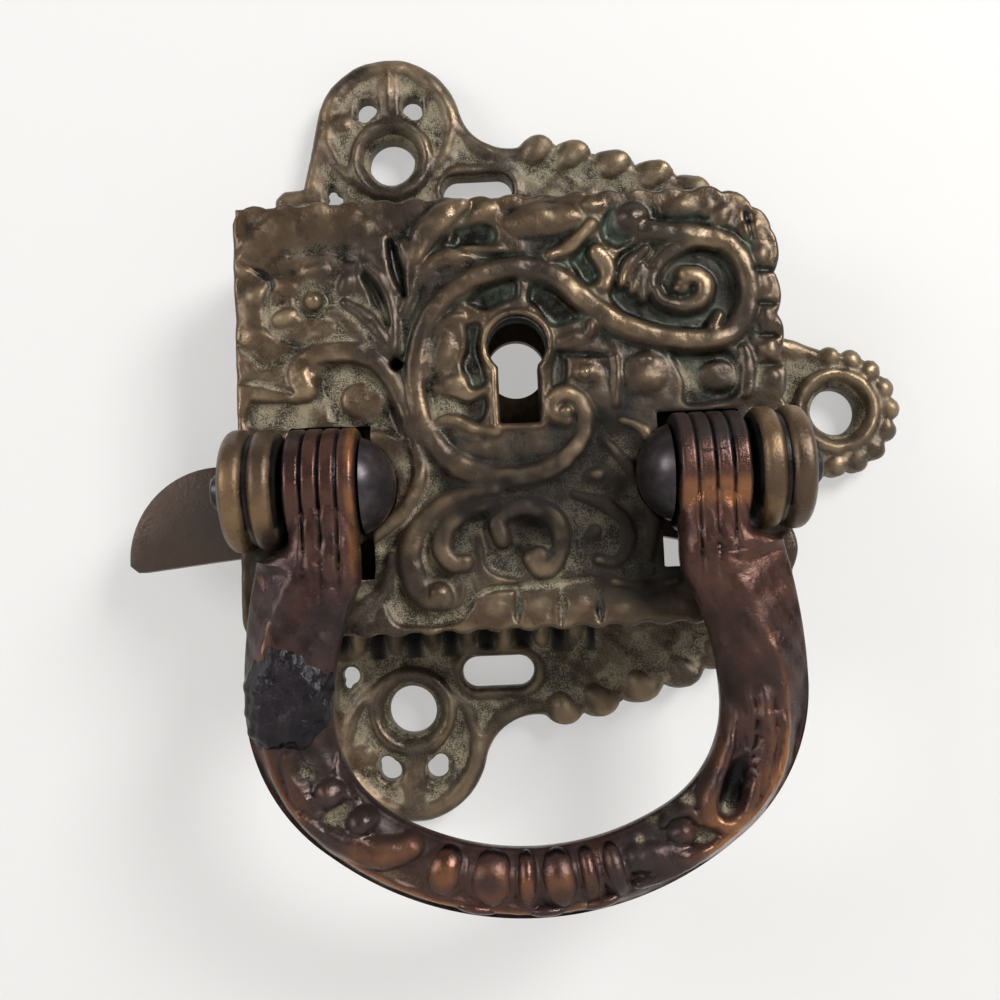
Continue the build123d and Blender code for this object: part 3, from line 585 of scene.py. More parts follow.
# grooves: points, half width, depth
scrollGrooves = [
    ([(-14.1, 13.9), (-13.3, 12.6), (-12.6, 10.8), (-11.9, 8.9)], 0.65, 1.6),
    ([(-11.4, 17.3), (-11.0, 15.1), (-10.5, 13.0), (-10.1, 11.7)], 0.6, 1.6),
    ([(-26.2, 15.7), (-23.4, 14.0), (-23.7, 11.9), (-23.7, 9.6), (-22.5, 8.0), (-20.8, 7.4), (-20.0, 6.9)],
     0.4, 0.4),
    ([(-26.8, 7.7), (-24.2, 5.3), (-21.6, 6.3)], 0.4, 0.4),
    ([(-26.5, 3.7), (-24.6, 3.6), (-21.3, 2.5)], 0.4, 0.35),
    ([(4.2, 5.5), (6.0, 5.2), (9.6, 4.9)], 0.4, 0.5),
    ([(-0.2, -17.4), (-0.4, -20.6)], 0.55, 0.5),
    ([(4.0, -17.6), (3.8, -21.0)], 0.55, 0.5),
    ([(7.6, -17.8), (7.6, -21.0)], 0.5, 0.45),
    ([(-4.6, -18.2), (-2.6, -17.4), (1.6, -17.3), (6.9, -16.9)], 0.5, 0.5),
    ([(-5.6, 16.6), (-2.6, 15.4), (1.6, 15.3)], 0.4, 0.4),
    ([(23.9, 18.9), (24.4, 15.9)], 0.4, 0.5),
    ([(24.2, 12.8), (26.4, 12.7)], 0.4, 0.5),
    ([(24.4, 9.4), (26.4, 9.3)], 0.4, 0.5),
    ([(24.4, 6.2), (26.4, 6.1)], 0.4, 0.5),
    ([(24.2, 3.3), (26.4, 3.2)], 0.4, 0.5),
    ([(-15.0, 15.4), (-18.0, 16.7), (-21.4, 16.2)], 0.5, 0.3),
]
# stains: x, z, reach, strength
caseStains = {
    "dust": [(-8, -19.8, 3.2, 1.4), (-13, -12, 2.6, 1.2), (-15, -3, 4.0, 0.9), (-3, -17.6, 3, 0.9),
             (-16, 2, 3.2, 1.3), (-22, 0.5, 3.4, 1.6), (1, -17, 3, 0.8), (23, 2, 2.0, 0.8),
             (16.6, 2, 1.5, 1.1), (14, 13.6, 2.4, 0.8), (-11, -7, 3, 1.2), (-14.5, 8, 2.6, 0.8),
             (-23.5, 6, 2.4, 0.5), (-6, 4, 3, 0.35), (-6.5, 0.4, 2.2, 1.0), (25, -15, 4, 0.4),
             (-25, -16, 6, 0.4), (-14, -18, 4, 1.4), (11, -5, 2.0, 0.5), (-9, -13.6, 2.4, 0.9),
             (-3, -16, 2, 0.8), (-10.6, -10, 2, 1.0), (8, -12, 6, 0.25), (-4, -14, 4, 0.4),
             (3, -17.4, 4, 0.9), (13, -9, 4, 0.25), (-24, 5, 2.6, 1.5), (-22.5, 10, 2.4, 1.3),
             (-17, 9, 3.2, 1.4), (-12.6, 9, 2.2, 1.0), (-19, 14.2, 3, 0.9)],
    "green": [(4, 10.5, 4, 1.0), (8, 15, 3, 1.0), (12, 12, 3.5, 0.6), (-6, 0, 3, 0.3),
              (-1.5, 11.5, 2.5, 1.0), (18, 3, 3, 0.7), (10, 17, 3, 0.8), (17, 18, 4, 0.9),
              (-12, 12, 4, 0.3), (0, -16, 4, 0.3), (23, 14, 3, 0.7), (18, 8, 3, 0.8), (-3, 17, 2.5, 1.0),
              (-4, 4, 3, 0.6), (11, -15.5, 4, 0.7)],
    "grime": [(9, -12, 5.5, 2.6), (12.5, -14, 5, 2.4), (12, -7, 4.4, 2.0), (5, -9.5, 4.4, 2.2),
              (15, -2.5, 3.4, 0.9), (0, -7, 5, 1.1), (5.5, -4, 3, 1.2), (-12.5, -14, 2.2, 1.0),
              (-24, -14, 4, 0.6), (-24, -18, 4, 0.5), (22, 10.5, 2.2, 1.0), (-9, -14, 1.4, 0.8),
              (-2.6, -11, 1.6, 0.9), (19, -1.5, 4, 0.8), (3, -12.0, 4, 2.4), (6, -13, 4, 2.0),
              (8, 0, 3, 0.5), (13, 10, 2, 0.5), (10, -3, 4, 1.3), (8, -6, 4, 1.6), (-3, -11, 4.5, 1.5),
              (1, -16, 3, 0.8), (-7, -11, 3, 0.8), (11, -11, 6, 2.6)],
}
caseDirtAndShade = {"leastDust": 0.08, "throatWide": 0.2, "throatTop": 0.6, "throatShade": 2.5}


def caseEdge(x, z):
    s = caseSize
    wide, tall, corner, scallop, flat = (s[key] for key in ("width", "height", "corner", "scallop", "notch"))
    out = np.maximum(boxInside(x, z, -corner / 2, 0, wide - corner, tall - 2 * scallop),
                     boxInside(x, z, -scallop / 2, 0, wide - scallop, tall - 2 * corner))
    out = np.maximum(out, boxInside(x, z, -corner / 2, 0, wide - corner - 2 * flat, tall - 2 * flat))
    start = -wide / 2 + scallop
    run = wide / 2 - corner - start
    cx, reach = wide / 2 - corner, corner - scallop
    discs = []
    for side in (-1, 1):
        low = side * (tall / 2 - scallop)
        discs += [(start + run * i / (s["scallops"] - 1), low, scallop) for i in range(s["scallops"])]
        cz = side * (tall / 2 - corner)
        discs.append((cx, cz, reach))
        for k in (1, 2):
            a = math.radians(side * s["cornerStep"] * k)
            discs.append((cx + reach * math.cos(a), cz + reach * math.sin(a), scallop))
    run = tall - 2 * corner
    for i in range(s["sideScallops"]):
        cz = -run / 2 + run * i / (s["sideScallops"] - 1)
        discs.append((wide / 2 - s["sideScallop"], cz, s["sideScallop"]))
    return withDiscs(out, x, z, discs)


def keyInside(x, z):
    s = caseSize
    (cx, cz), drop = s["key"], s["keyDrop"]
    return np.maximum(discInside(x, z, cx, cz, s["keyRadius"]),
                      boxInside(x, z, cx, cz - drop / 2, s["keySlot"], drop))


def caseSheetEdge(x, z):
    s, hinge = caseSize, hingeSize
    out = np.minimum(caseEdge(x, z), -keyInside(x, z))
    out = np.minimum(out, -discInside(x, z, *s["pinHole"]))
    wide = hinge["eyeOut"] - hinge["eyeIn"] + s["slotWider"]
    tall = 2 * hinge["eyeRadius"] + s["slotTaller"]
    for side in (-1, 1):
        mid = side * (hinge["eyeIn"] + hinge["eyeOut"]) / 2
        out = np.minimum(out, -boxInside(x, z, mid, hinge["axisZ"] - s["slotDrop"], wide, tall))
        out = np.minimum(out, -discInside(x, z, side * s["headMid"], hinge["axisZ"], s["headWell"]))
    return out


def blockNear(x, z, path, reach):
    rows = np.where((z[:, 0] > path[:, 1].min() - reach) & (z[:, 0] < path[:, 1].max() + reach))[0]
    cols = np.where((x[0] > path[:, 0].min() - reach) & (x[0] < path[:, 0].max() + reach))[0]
    return np.s_[rows[0]:rows[-1] + 1, cols[0]:cols[-1] + 1]


def widthAlong(share, halves):
    return np.interp(share, np.linspace(0, 1, len(halves)), halves)


def caseHeight(x, z, gap, spacing):
    s = caseSize
    work = np.zeros(x.shape)
    for outline, depth in sunkGrounds:
        path = splinePath(outline + outline[:1], s["groundStep"])
        block = blockNear(x, z, path, s["groundStep"])
        inside = polygonInside(x[block], z[block], path[:-1])
        sunk = depth * np.clip((inside + s["groundLip"]) / s["groundSlope"], 0, 1)
        work[block] = np.minimum(work[block], -sunk)
    for points, halves, rise in scrollBands:
        path = splinePath(points)
        block = blockNear(x, z, path, max(halves) + s["swell"])
        away, share = nearPath(x[block], z[block], path)
        out = away / (widthAlong(share, halves) + s["swell"])
        band = np.maximum(0, 1 - out ** s["bandCurve"]) ** s["bandPower"]
        work[block] = np.maximum(work[block], (rise + s["bandFloor"]) * band - s["bandFloor"])
    for *mound, rise in leafMounds:
        work = np.maximum(work, (rise + s["moundFloor"]) * dome(x, z, *mound) - s["moundFloor"])
    for points, half, depth in scrollGrooves:
        path = splinePath(points)
        block = blockNear(x, z, path, half)
        away, share = nearPath(x[block], z[block], path)
        wide = half * (s["grooveTip"] + (1 - s["grooveTip"]) * np.sin(math.pi * share))
        work[block] -= depth * np.clip(1 - (away / wide) ** 2, 0, 1)
    lip = s["lipRise"] * bell(-keyInside(x, z), s["lipAt"], s["lipWide"]) - s["lipFloor"]
    work = softened(np.maximum(work, lip), s["soft"] / spacing)
    dice = np.random.default_rng(s["seed"]).normal(size=x.shape)
    for reach, rise in s["skin"]:
        grain = softened(dice, reach / spacing)
        work = work + rise * grain / grain.std()
    outer = np.clip((s["rimBand"] - caseEdge(x, z)) / s["rimBlend"], 0, 1)
    drop = edgeDrop(gap, s["rimRound"]) * (s["innerRound"] + (1 - s["innerRound"]) * outer)
    return s["ground"] + work - drop


def stained(x, z, stains):
    return {name: blobs(x, z, spots) for name, spots in stains.items()}


def caseMasks(x, z, h):
    s = caseDirtAndShade
    masks = stained(x, z, caseStains)
    # painted shade down the keyhole's walls, below the face
    throat = (np.abs(keyInside(x, z)) < s["throatWide"]) & (h < caseSize["ground"] - s["throatTop"])
    masks["dust"] = np.maximum(masks["dust"], s["leastDust"])
    masks["grime"] = np.where(throat, s["throatShade"], masks["grime"])
    return masks


caseFront = reliefSheet("caseFront", caseSize["spacing"], caseSize["span"], caseSheetEdge, caseHeight,
                        caseSize["wallBack"], caseMasks, tuck=caseSize["tuck"])


# flange with leafed edges, ears and screw bosses

flangeSize = {
    "thick": 2.5, "ground": 2.15, "back": 0.02, "spacing": 0.28, "span": (-27, 42.4, -42.4, 42.4),
    "trim": 0.03, "underCase": 0.9, "left": -25.1, "wall": 26.6, "edgeZ": 27.4, "leftCorner": 1.0,
    "foldUnder": -4, "boss": 4.5, "bossTop": 3.3, "bossOut": 0.35, "bossSlope": 0.5,
    "screw": 2.55, "sink": 3.9, "sinkDeep": 1.5, "earX": -12.0, "earZ": 30.1,
    "lobe": (-12.2, 33.8), "lobeRadius": 8.1, "lobeLean": 11, "lobeFoot": 1.6, "neck": (2.0, -3.0),
    "lobeSteps": 40, "neckSteps": 12, "leafSteps": 9, "sideX": 35.1, "sideRadius": 6.4,
    "earEdge": [(26, 9.6), (31.4, 8.0), (35.1, 6.4), (35.1, -6.4), (31.4, -8.0), (26, -9.6)],
    "beads": 9, "beadTurn": 92, "beadRadius": 1.25, "beadInset": 0.5, "beadRise": 0.8,
    "leafTips": [(2.2, 31.3), (6.2, 31.2), (10.3, 29.9), (15.0, 28.6), (19.4, 27.1), (23.4, 24.6),
                 (26.6, 20.6)],
    "leafBulge": 1.1, "leafRise": 0.95, "leafShift": (0.1, -0.4), "leafHalf": (2.5, 1.5), "leafTurn": 60,
    # measured from the ear's screw: x, z and radius; x, z, half length, half width, turn and rise
    "piercings": [(-2.6, 6.3, 1.15), (-2.95, 5.6, 0.85), (2.4, 6.3, 1.15), (2.75, 5.6, 0.85),
                  (-6.5, -3.9, 0.95), (-6.9, -2.9, 0.5)],
    "earMounds": [(-5.6, 4.4, 1.3, 1.3, 0, 0.6), (6.2, 0.6, 1.6, 1.0, 60, 0.5)],
    "slot": (9.35, -3.7), "slotLong": 4.4, "slotThin": 0.02, "slotRound": 1.65,
    # ridges: distance, half width, rise; and each bead's inset and radius
    "slotRim": (-0.55, 0.45, 0.5), "border": (1.0, 0.8, 0.38), "lobeRing": (6.9, 0.7, 0.7), "ringFrom": -4,
    "beadDome": (0.6, 1.2), "barShift": 0.1, "barHalf": 1.15, "barFrom": 3.5, "barTo": 10.6,
    "barRise": 0.55, "barWave": 0.25, "barTurns": 5.5,
    "footReach": 3.2, "footRise": 3.6, "footPitch": 3.86, "footAt": -17.3, "footEnd": 8.0, "footTop": -10,
    "footStart": -21, "footBlend": (1.5, 4), "footPower": 1.4, "toothPower": 1.6,
    "soft": 0.3, "rimRound": 0.6, "rimShare": 0.8,
}
flangeDirt = {"nearFoot": 0.1, "toothDust": 2.2, "leastDust": 1.3, "betweenTeethDark": 1.6, "backTop": 0.1}
flangeStains = {
    "dust": [(-20, -25, 5.5, 3.0), (-8, -24.5, 4.5, 1.2), (14, -24.5, 6, 3.0), (20, -22, 5, 2.6),
             (-19, -32, 5, 1.6), (-14, -37, 3, 0.9), (-16, 27, 5, 0.7), (2, 26, 6, 0.4), (14, 25, 6, 0.5),
             (-15.6, 36.4, 2.6, 1.2), (30, 4, 4, 1.2), (38, 1, 4, 0.6), (8, -27, 4, 1.2)],
    "green": [(6, 26, 8, 0.8), (16, 24, 6, 0.9), (-4, -30, 5, 0.4), (-8, 36, 3, 0.9), (5, 29, 3, 0.8)],
    "grime": [(0, -31, 5, 0.9), (-6, -37, 5, 1.0), (3, -28, 4, 0.9), (5, -25, 3, 0.8), (-20, 30, 5, 0.3),
              (-2, 29, 4, 0.5), (-6, -31, 3, 0.8)],
}


def arcPoints(centre, r, start, sweep, steps, count):
    turns = [start + sweep * i / count for i in steps]
    return [(centre[0] + r * math.cos(a), centre[1] + r * math.sin(a)) for a in turns]


def arcThrough(a, b, c, count):
    (ax, az), (bx, bz), (cx, cz) = a, b, c
    aa, bb, cc = ax ** 2 + az ** 2, bx ** 2 + bz ** 2, cx ** 2 + cz ** 2
    d = 2 * (ax * (bz - cz) + bx * (cz - az) + cx * (az - bz))
    ux = (aa * (bz - cz) + bb * (cz - az) + cc * (az - bz)) / d
    uz = (aa * (cx - bx) + bb * (ax - cx) + cc * (bx - ax)) / d
    t0, t1, t2 = (math.atan2(pz - uz, px - ux) for px, pz in (a, b, c))
    turn = 1 if (t1 - t0) % math.tau < (t2 - t0) % math.tau else -1
    sweep = ((t2 - t0) * turn) % math.tau * turn
    return arcPoints((ux, uz), math.hypot(ax - ux, az - uz), t0, sweep, range(count), count)


def flangeOutline():
    s = flangeSize
    lx, lz = s["lobe"]
    r, lean = s["lobeRadius"], math.radians(s["lobeLean"])
    left, right = ((lx + side * r * math.cos(lean), lz + r * math.sin(lean)) for side in (-1, 1))
    tips = s["leafTips"]
    top = [(s["left"], 0), (s["left"], s["edgeZ"] - s["leftCorner"]),
           (s["left"] + s["leftCorner"], s["edgeZ"]), (lx - r - s["lobeFoot"], s["edgeZ"])]
    top += arcThrough(left, (lx, lz + r), right, s["lobeSteps"])
    top += arcThrough(right, (right[0] + s["neck"][0], right[1] + s["neck"][1]), tips[0], s["neckSteps"])
    for a, b in zip(tips, tips[1:]):
        run = math.dist(a, b)
        mid = ((a[0] + b[0]) / 2 - (b[1] - a[1]) / run * s["leafBulge"],
               (a[1] + b[1]) / 2 + (b[0] - a[0]) / run * s["leafBulge"])
        top += arcThrough(a, mid, b, s["leafSteps"])
    under = [(s["wall"], s["foldUnder"]), (s["left"], s["foldUnder"])]
    return np.array(top + [tips[-1], (s["wall"], 0)] + under)


flangeEdge = flangeOutline()


def beadSpots(inset):
    s = flangeSize
    reach, turn = s["sideRadius"] - inset, math.radians(s["beadTurn"])
    return arcPoints((s["sideX"], 0), reach, -turn, 2 * turn, range(s["beads"]), s["beads"] - 1)


def flangeBody(x, z):
    s = flangeSize
    out = np.maximum(polygonInside(x, np.abs(z), flangeEdge), polygonInside(x, z, np.array(s["earEdge"])))
    beads = [(*spot, s["beadRadius"]) for spot in beadSpots(s["beadInset"])]
    return withDiscs(out, x, z, [(s["sideX"], 0, s["sideRadius"])] + beads)


def slotInside(x, fold):
    s = flangeSize
    cx, cz = s["earX"] + s["slot"][0], s["earZ"] + s["slot"][1]
    return boxInside(x, fold, cx, cz, s["slotLong"], s["slotThin"]) + s["slotRound"]


def flangeHoles(x, z):
    s = flangeSize
    fold = np.abs(z)
    discs = [(s["earX"] + dx, s["earZ"] + dz, r) for dx, dz, r in s["piercings"]]
    discs += [(s["earX"], s["earZ"], s["screw"]), (s["sideX"], 0, s["screw"])]
    return withDiscs(slotInside(x, fold), x, fold, discs)


def flangeSheetEdge(x, z):
    s = flangeSize
    out = np.minimum(flangeBody(x, z) - s["trim"], -flangeHoles(x, z))
    return np.minimum(out, s["underCase"] - caseEdge(x, z))


def footComb(x):
    return 0.5 + 0.5 * np.cos(math.tau * (x - flangeSize["footAt"]) / flangeSize["footPitch"])


def footNear(z):
    s = flangeSize
    return np.clip(1 + (z + caseSize["height"] / 2) / s["footReach"], 0, 1) * (z < s["footTop"])


def flangeMounds():
    s = flangeSize
    mounds = [(s["earX"] + dx, s["earZ"] + dz, *rest) for dx, dz, *rest in s["earMounds"]]
    for a, b in zip(s["leafTips"], s["leafTips"][1:]):
        turn = math.degrees(math.atan2(b[1] - a[1], b[0] - a[0])) + s["leafTurn"]
        mx, mz = ((p + q) / 2 + shift for p, q, shift in zip(a, b, s["leafShift"]))
        mounds.append((mx, mz, *s["leafHalf"], turn, s["leafRise"]))
    return mounds


def flangeHeight(x, z, gap, spacing):
    s = flangeSize
    fold = np.abs(z)
    earX, earZ = s["earX"], s["earZ"]
    at, wide, rise = s["border"]
    work = rise * bell(flangeBody(x, z), at, wide)
    for *mound, rise in flangeMounds():
        work = np.maximum(work, rise * dome(x, fold, *mound))
    at, wide, rise = s["lobeRing"]
    arm = np.hypot(x - s["lobe"][0], fold - s["lobe"][1])
    work = np.maximum(work, np.where(fold > earZ + s["ringFrom"], rise * bell(arm, at, wide), 0))
    across = x - earX + s["barShift"]
    bar = (np.abs(across) < s["barHalf"]) & (fold > earZ + s["barFrom"]) & (fold < earZ + s["barTo"])
    ridge = s["barRise"] + s["barWave"] * np.cos(across * s["barTurns"])
    work = np.where(bar, np.maximum(work, ridge), work)
    at, wide, rise = s["slotRim"]
    work = np.maximum(work, rise * bell(slotInside(x, fold), at, wide))
    inset, half = s["beadDome"]
    for spot in beadSpots(inset):
        work = np.maximum(work, s["beadRise"] * dome(x, z, *spot, half, half, 0))
    reach = s["boss"] + s["bossOut"]
    for cx, cz in ((earX, earZ), (earX, -earZ), (s["sideX"], 0)):
        r = np.hypot(x - cx, z - cz)
        rim = (s["bossTop"] - s["ground"]) * np.clip((reach - r) / s["bossSlope"], 0, 1)
        cone = np.clip((s["sink"] - r) / (s["sink"] - s["screw"]), 0, 1) * s["sinkDeep"]
        around = work * np.clip((r - s["boss"]) / s["bossOut"], 0, 1)
        work = np.where(r < reach, np.maximum(rim, around) - cone, work)
    left, right = s["footBlend"]
    below = footNear(z) * np.clip((x - s["footStart"]) / left, 0, 1)
    below = below * np.clip((s["footEnd"] - x) / right, 0, 1)
    work = np.maximum(work, s["footRise"] * below ** s["footPower"] * footComb(x) ** s["toothPower"])
    work = softened(work, s["soft"] / spacing)
    # slow waves for the uneven cast skin
    worn = (0.12 * np.sin(x * 1.1 + 0.3) * np.sin(z * 0.9 + 1.4)
            + 0.05 * np.sin(x * 2.7 + z) * np.sin(z * 2.3 - 0.6))
    return s["ground"] + work + worn - s["rimShare"] * edgeDrop(gap, s["rimRound"])


def flangeMasks(x, z, h):
    s = flangeDirt
    masks = stained(x, z, flangeStains)
    comb = footComb(x)
    near = footNear(z) * (x < flangeSize["footEnd"])
    # darker between the teeth, and dust on their tops
    masks["grime"] = np.maximum(masks["grime"], np.clip(s["betweenTeethDark"] * near * (1 - comb), 0, 1))
    masks["dust"] = np.where(near > s["nearFoot"], s["toothDust"] * comb ** 2,
                             np.maximum(masks["dust"], s["leastDust"]))
    return {name: field * (h > s["backTop"]) for name, field in masks.items()}


caseFlange = reliefSheet("caseFlange", flangeSize["spacing"], flangeSize["span"], flangeSheetEdge,
                         flangeHeight, flangeSize["back"], flangeMasks, backed=True)


# case shell: the back, inner walls and fluted sides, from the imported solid

shellSize = {"merge": 2e-6, "sliceMerge": 1e-7, "cutLift": 2e-5, "inset": 0.5, "past": 0.05, "near": 0.02,
             "sharp": 35, "innerEdge": 0.6, "deepEdge": 1.5, "lowZ": -15}


def mergedCopy(node, name, material):
    obj = frame["nodes"][node].copy()
    obj.data = frame["nodes"][node].data.copy()
    obj.name = name
    obj.parent = None
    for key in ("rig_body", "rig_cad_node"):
        if key in obj:
            del obj[key]
    bpy.context.scene.collection.objects.link(obj)
    merge = shellSize["merge"]
    editMesh(obj.data, lambda work: bmesh.ops.remove_doubles(work, verts=work.verts, dist=merge))
    obj.data.materials.clear()
    obj.data.materials.append(material)
    return obj


def slicePlane(work, at, way, clear=False):
    geom = work.verts[:] + work.edges[:] + work.faces[:]
    bmesh.ops.bisect_plane(work, geom=geom, dist=shellSize["sliceMerge"], plane_co=at, plane_no=way,
                           clear_outer=clear)


def underRelief(c):
    # faces that the front, the flange or the rings take the place of
    s = shellSize
    past = max(abs(c.x) - caseSize["width"] / 2, abs(c.z) - caseSize["height"] / 2)
    flangeWall = abs(c.x - flangeSize["wall"]) < s["near"] and c.y > -flangeSize["thick"]
    backRim = past > -s["inset"] and c.y > -s["near"]
    flangeFace = c.y < -s["near"] and abs(c.y + flangeSize["thick"]) < s["near"]
    return past > s["past"] or flangeWall or backRim or flangeFace


def cutShell(work):
    slicePlane(work, (0, -caseSize["wallBack"] * mm - shellSize["cutLift"], 0), (0, -1, 0), True)
    for axis, span in ((0, caseSize["width"]), (2, caseSize["height"])):
        for side in (-1, 1):
            at, way = Vector((0, 0, 0)), Vector((0, 0, 0))
            at[axis] = side * (span / 2 - shellSize["inset"]) * mm
            way[axis] = side
            slicePlane(work, at, way)
    dropFaces(work, underRelief)


def caseShellPiece():
    s = shellSize
    shell = mergedCopy("lock_case", "caseShell", caseBronze)
    editMesh(shell.data, cutShell)
    shadeSmooth(shell.data, s["sharp"])
    x, _, z = spotsOf(shell)
    edge = caseEdge(x, z)
    inner = edge > s["innerEdge"]
    # painted shade: every shell wall gets low relief, the inner ones lower, and the walls deep inside the
    # case get the dark grime-and-shade layer
    paint(shell, relief=np.where(inner, -0.3, -0.1), grime=np.where(edge > s["deepEdge"], 1.8, 0.1),
          dust=np.where(inner, 0.05, np.where(z < s["lowZ"], 0.95, 0.4)))
    return shell


caseShell = caseShellPiece()
print("shell cut from the packed case")


# turned pieces: hinge rings and pivot pins

def turned(name, profile, material, segments):
    height, axisZ = hingeSize["height"], hingeSize["axisZ"]
    points, faces, rows = [], [], []
    for x, r in profile:
        if r < tiny:
            rows.append([len(points)])
            points.append((x * mm, -height * mm, axisZ * mm))
            continue
        rows.append(list(range(len(points), len(points) + segments)))
        for k in range(segments):
            a = math.tau * k / segments
            points.append((x * mm, -(height + r * math.cos(a)) * mm, (axisZ + r * math.sin(a)) * mm))
    for lower, upper in zip(rows, rows[1:]):
        for k in range(segments):
            n = (k + 1) % segments
            corners = ((lower, k), (lower, n), (upper, n), (upper, k))
            quad = [row[i % len(row)] for row, i in corners]
            faces.append(list(dict.fromkeys(quad)))
    obj = buildMesh(name, points, faces, material)
    faceOutward(obj, 50)
    return obj


def fromAxis(y, z):
    return np.hypot(-y - hingeSize["height"], z - hingeSize["axisZ"])


ringSize = {"inner": 22.0, "outer": 27.3, "radius": 5.85, "valley": 0.95, "shoulder": 0.2, "rings": 2,
            "steps": 16, "curve": 3.2, "sides": 96, "wearFrom": 0.35, "wearScale": 0.5, "grimeFrom": 0.75,
            "lowZ": -11}


def ringProfile(side):
    s = ringSize
    wide = (s["outer"] - s["inner"]) / s["rings"]
    foot = s["radius"] - s["valley"] - s["shoulder"]
    profile = [(side * s["inner"], 0.0), (side * s["inner"], foot)]
    for ring in range(s["rings"]):
        start = s["inner"] + ring * wide
        for i in range(1, s["steps"]):
            t = i / s["steps"]
            bulge = 1 - abs(2 * t - 1) ** s["curve"]
            profile.append((side * (start + wide * t), s["radius"] - s["valley"] * (1 - bulge)))
    return profile + [(side * s["outer"], foot), (side * s["outer"], 0.0)]


def ringPiece(side, word):
    s = ringSize
    ring = turned("hingeRings" + word, ringProfile(side), ringBronze, s["sides"])
    _, y, z = spotsOf(ring)
    r = fromAxis(y, z)
    # painted shade in the valleys between the rings, by low relief and the dark grime-and-shade layer; the
    # crests get wear
    paint(ring, relief=np.clip((r - s["radius"] + s["wearFrom"]) / s["wearScale"], -0.6, 0.5),
          dust=np.where(z < s["lowZ"], 0.5, 0.05),
          grime=np.where(r < s["radius"] - s["grimeFrom"], 0.8, 0.0))
    return ring


hingeRings = [ringPiece(*item) for item in hingeSides]

pinSize = {"head": 4.6, "dome": 3.0, "domeSteps": 14, "face": 14.4, "shank": 1.7, "end": 28.8,
           "chamfer": 0.3, "sides": 64}


def pinProfile(side):
    s = pinSize
    ball = (s["head"] ** 2 + s["dome"] ** 2) / (2 * s["dome"])
    rim = math.asin(s["head"] / ball)
    tip = s["face"] - s["dome"]
    turns = [rim * i / s["domeSteps"] for i in range(s["domeSteps"] + 1)]
    profile = [(side * (tip + ball * (1 - math.cos(a))), ball * math.sin(a)) for a in turns]
    return profile + [(side * s["face"], s["shank"]), (side * (s["end"] - s["chamfer"]), s["shank"]),
                      (side * s["end"], s["shank"] - s["chamfer"]), (side * s["end"], 0.0)]


pivotPins = [turned("pivotPin" + word, pinProfile(side), pinSteel, pinSize["sides"])
             for side, word in hingeSides]
print("rings and pins turned")


# bail: a cast loop lofted from its inner and outer edges, carved on the front

bailSize = {
    "back": 15.7, "boxy": 2.7, "squeeze": 0.996, "around": 120, "step": 0.26, "arcSteps": 66, "sharp": 60,
    "frontRamp": 1.6, "bandCurve": 2.2, "bandPower": 0.6, "fadeShare": 0.25, "fadeAbove": -30,
    "moundPower": 0.7, "knopRise": 0.75, "knopWider": 1.05, "knopPower": 0.8, "sunk": 0.7, "sunkFrom": -24,
    "sunkBlend": 5, "bevel": 1.9, "bevelFrom": -13.4, "bevelBlend": 1.2,
    "grooves": (16.4, 18.0, 19.6), "grooveDeep": 0.34, "grooveWide": 0.16, "grooveEnd": -18.0,
    "grooveFade": 4,
    "bevelRight": ((13.7, 19.6, 23.7, 28.0, 34.0, 47.0), (-0.1, 0.0, 0.25, 0.42, 0.6, 0.7)),
    "bevelLeft": ((13.7, 16.6, 20.1, 28.0, 34.0, 47.0), (0.2, 0.3, 0.5, 0.6, 0.65, 0.7)),
    "wearRise": 0.6, "wearWide": 0.09, "wearFrom": -17, "wearBlend": 4, "tintFrom": 0.15, "tintScale": 0.55,
    # bright rubbed places: where, half width, strength
    "goldLeft": (-15.0, 0.6, 0.9), "goldRight": (-9.5, 1.6, 0.8),
    # arcs of the loop's outer and inner edge: start, end, centre
    "outer": [((24.2, -13.7), (25.8, -26.66), (-27.49, -26.66)),
              ((25.8, -26.66), (18.576, -40.764), (8.42, -26.66)),
              ((18.576, -40.764), (0.0, -47.1), (0.0, -16.7))],
    "inner": [((14.7, -16.3), (17.6, -28.16), (-8.1, -28.16)),
              ((17.6, -28.16), (12.056, -37.6), (6.79, -28.16)),
              ((12.056, -37.6), (0.0, -40.8), (0.0, -16.49))],
    # outer x and z, inner x and z, down the strap
    "strap": [(21.3, -5.6, 14.7, -5.6), (21.3, -9.5, 14.7, -9.5), (21.3, -12.4, 14.7, -13.0),
              (22.3, -13.3, 14.65, -15.2)],
    # level and height of the front
    "front": [(-5, 21.5), (-12, 21.0), (-30, 20.9), (-36, 20.7), (-42, 20.5)],
}
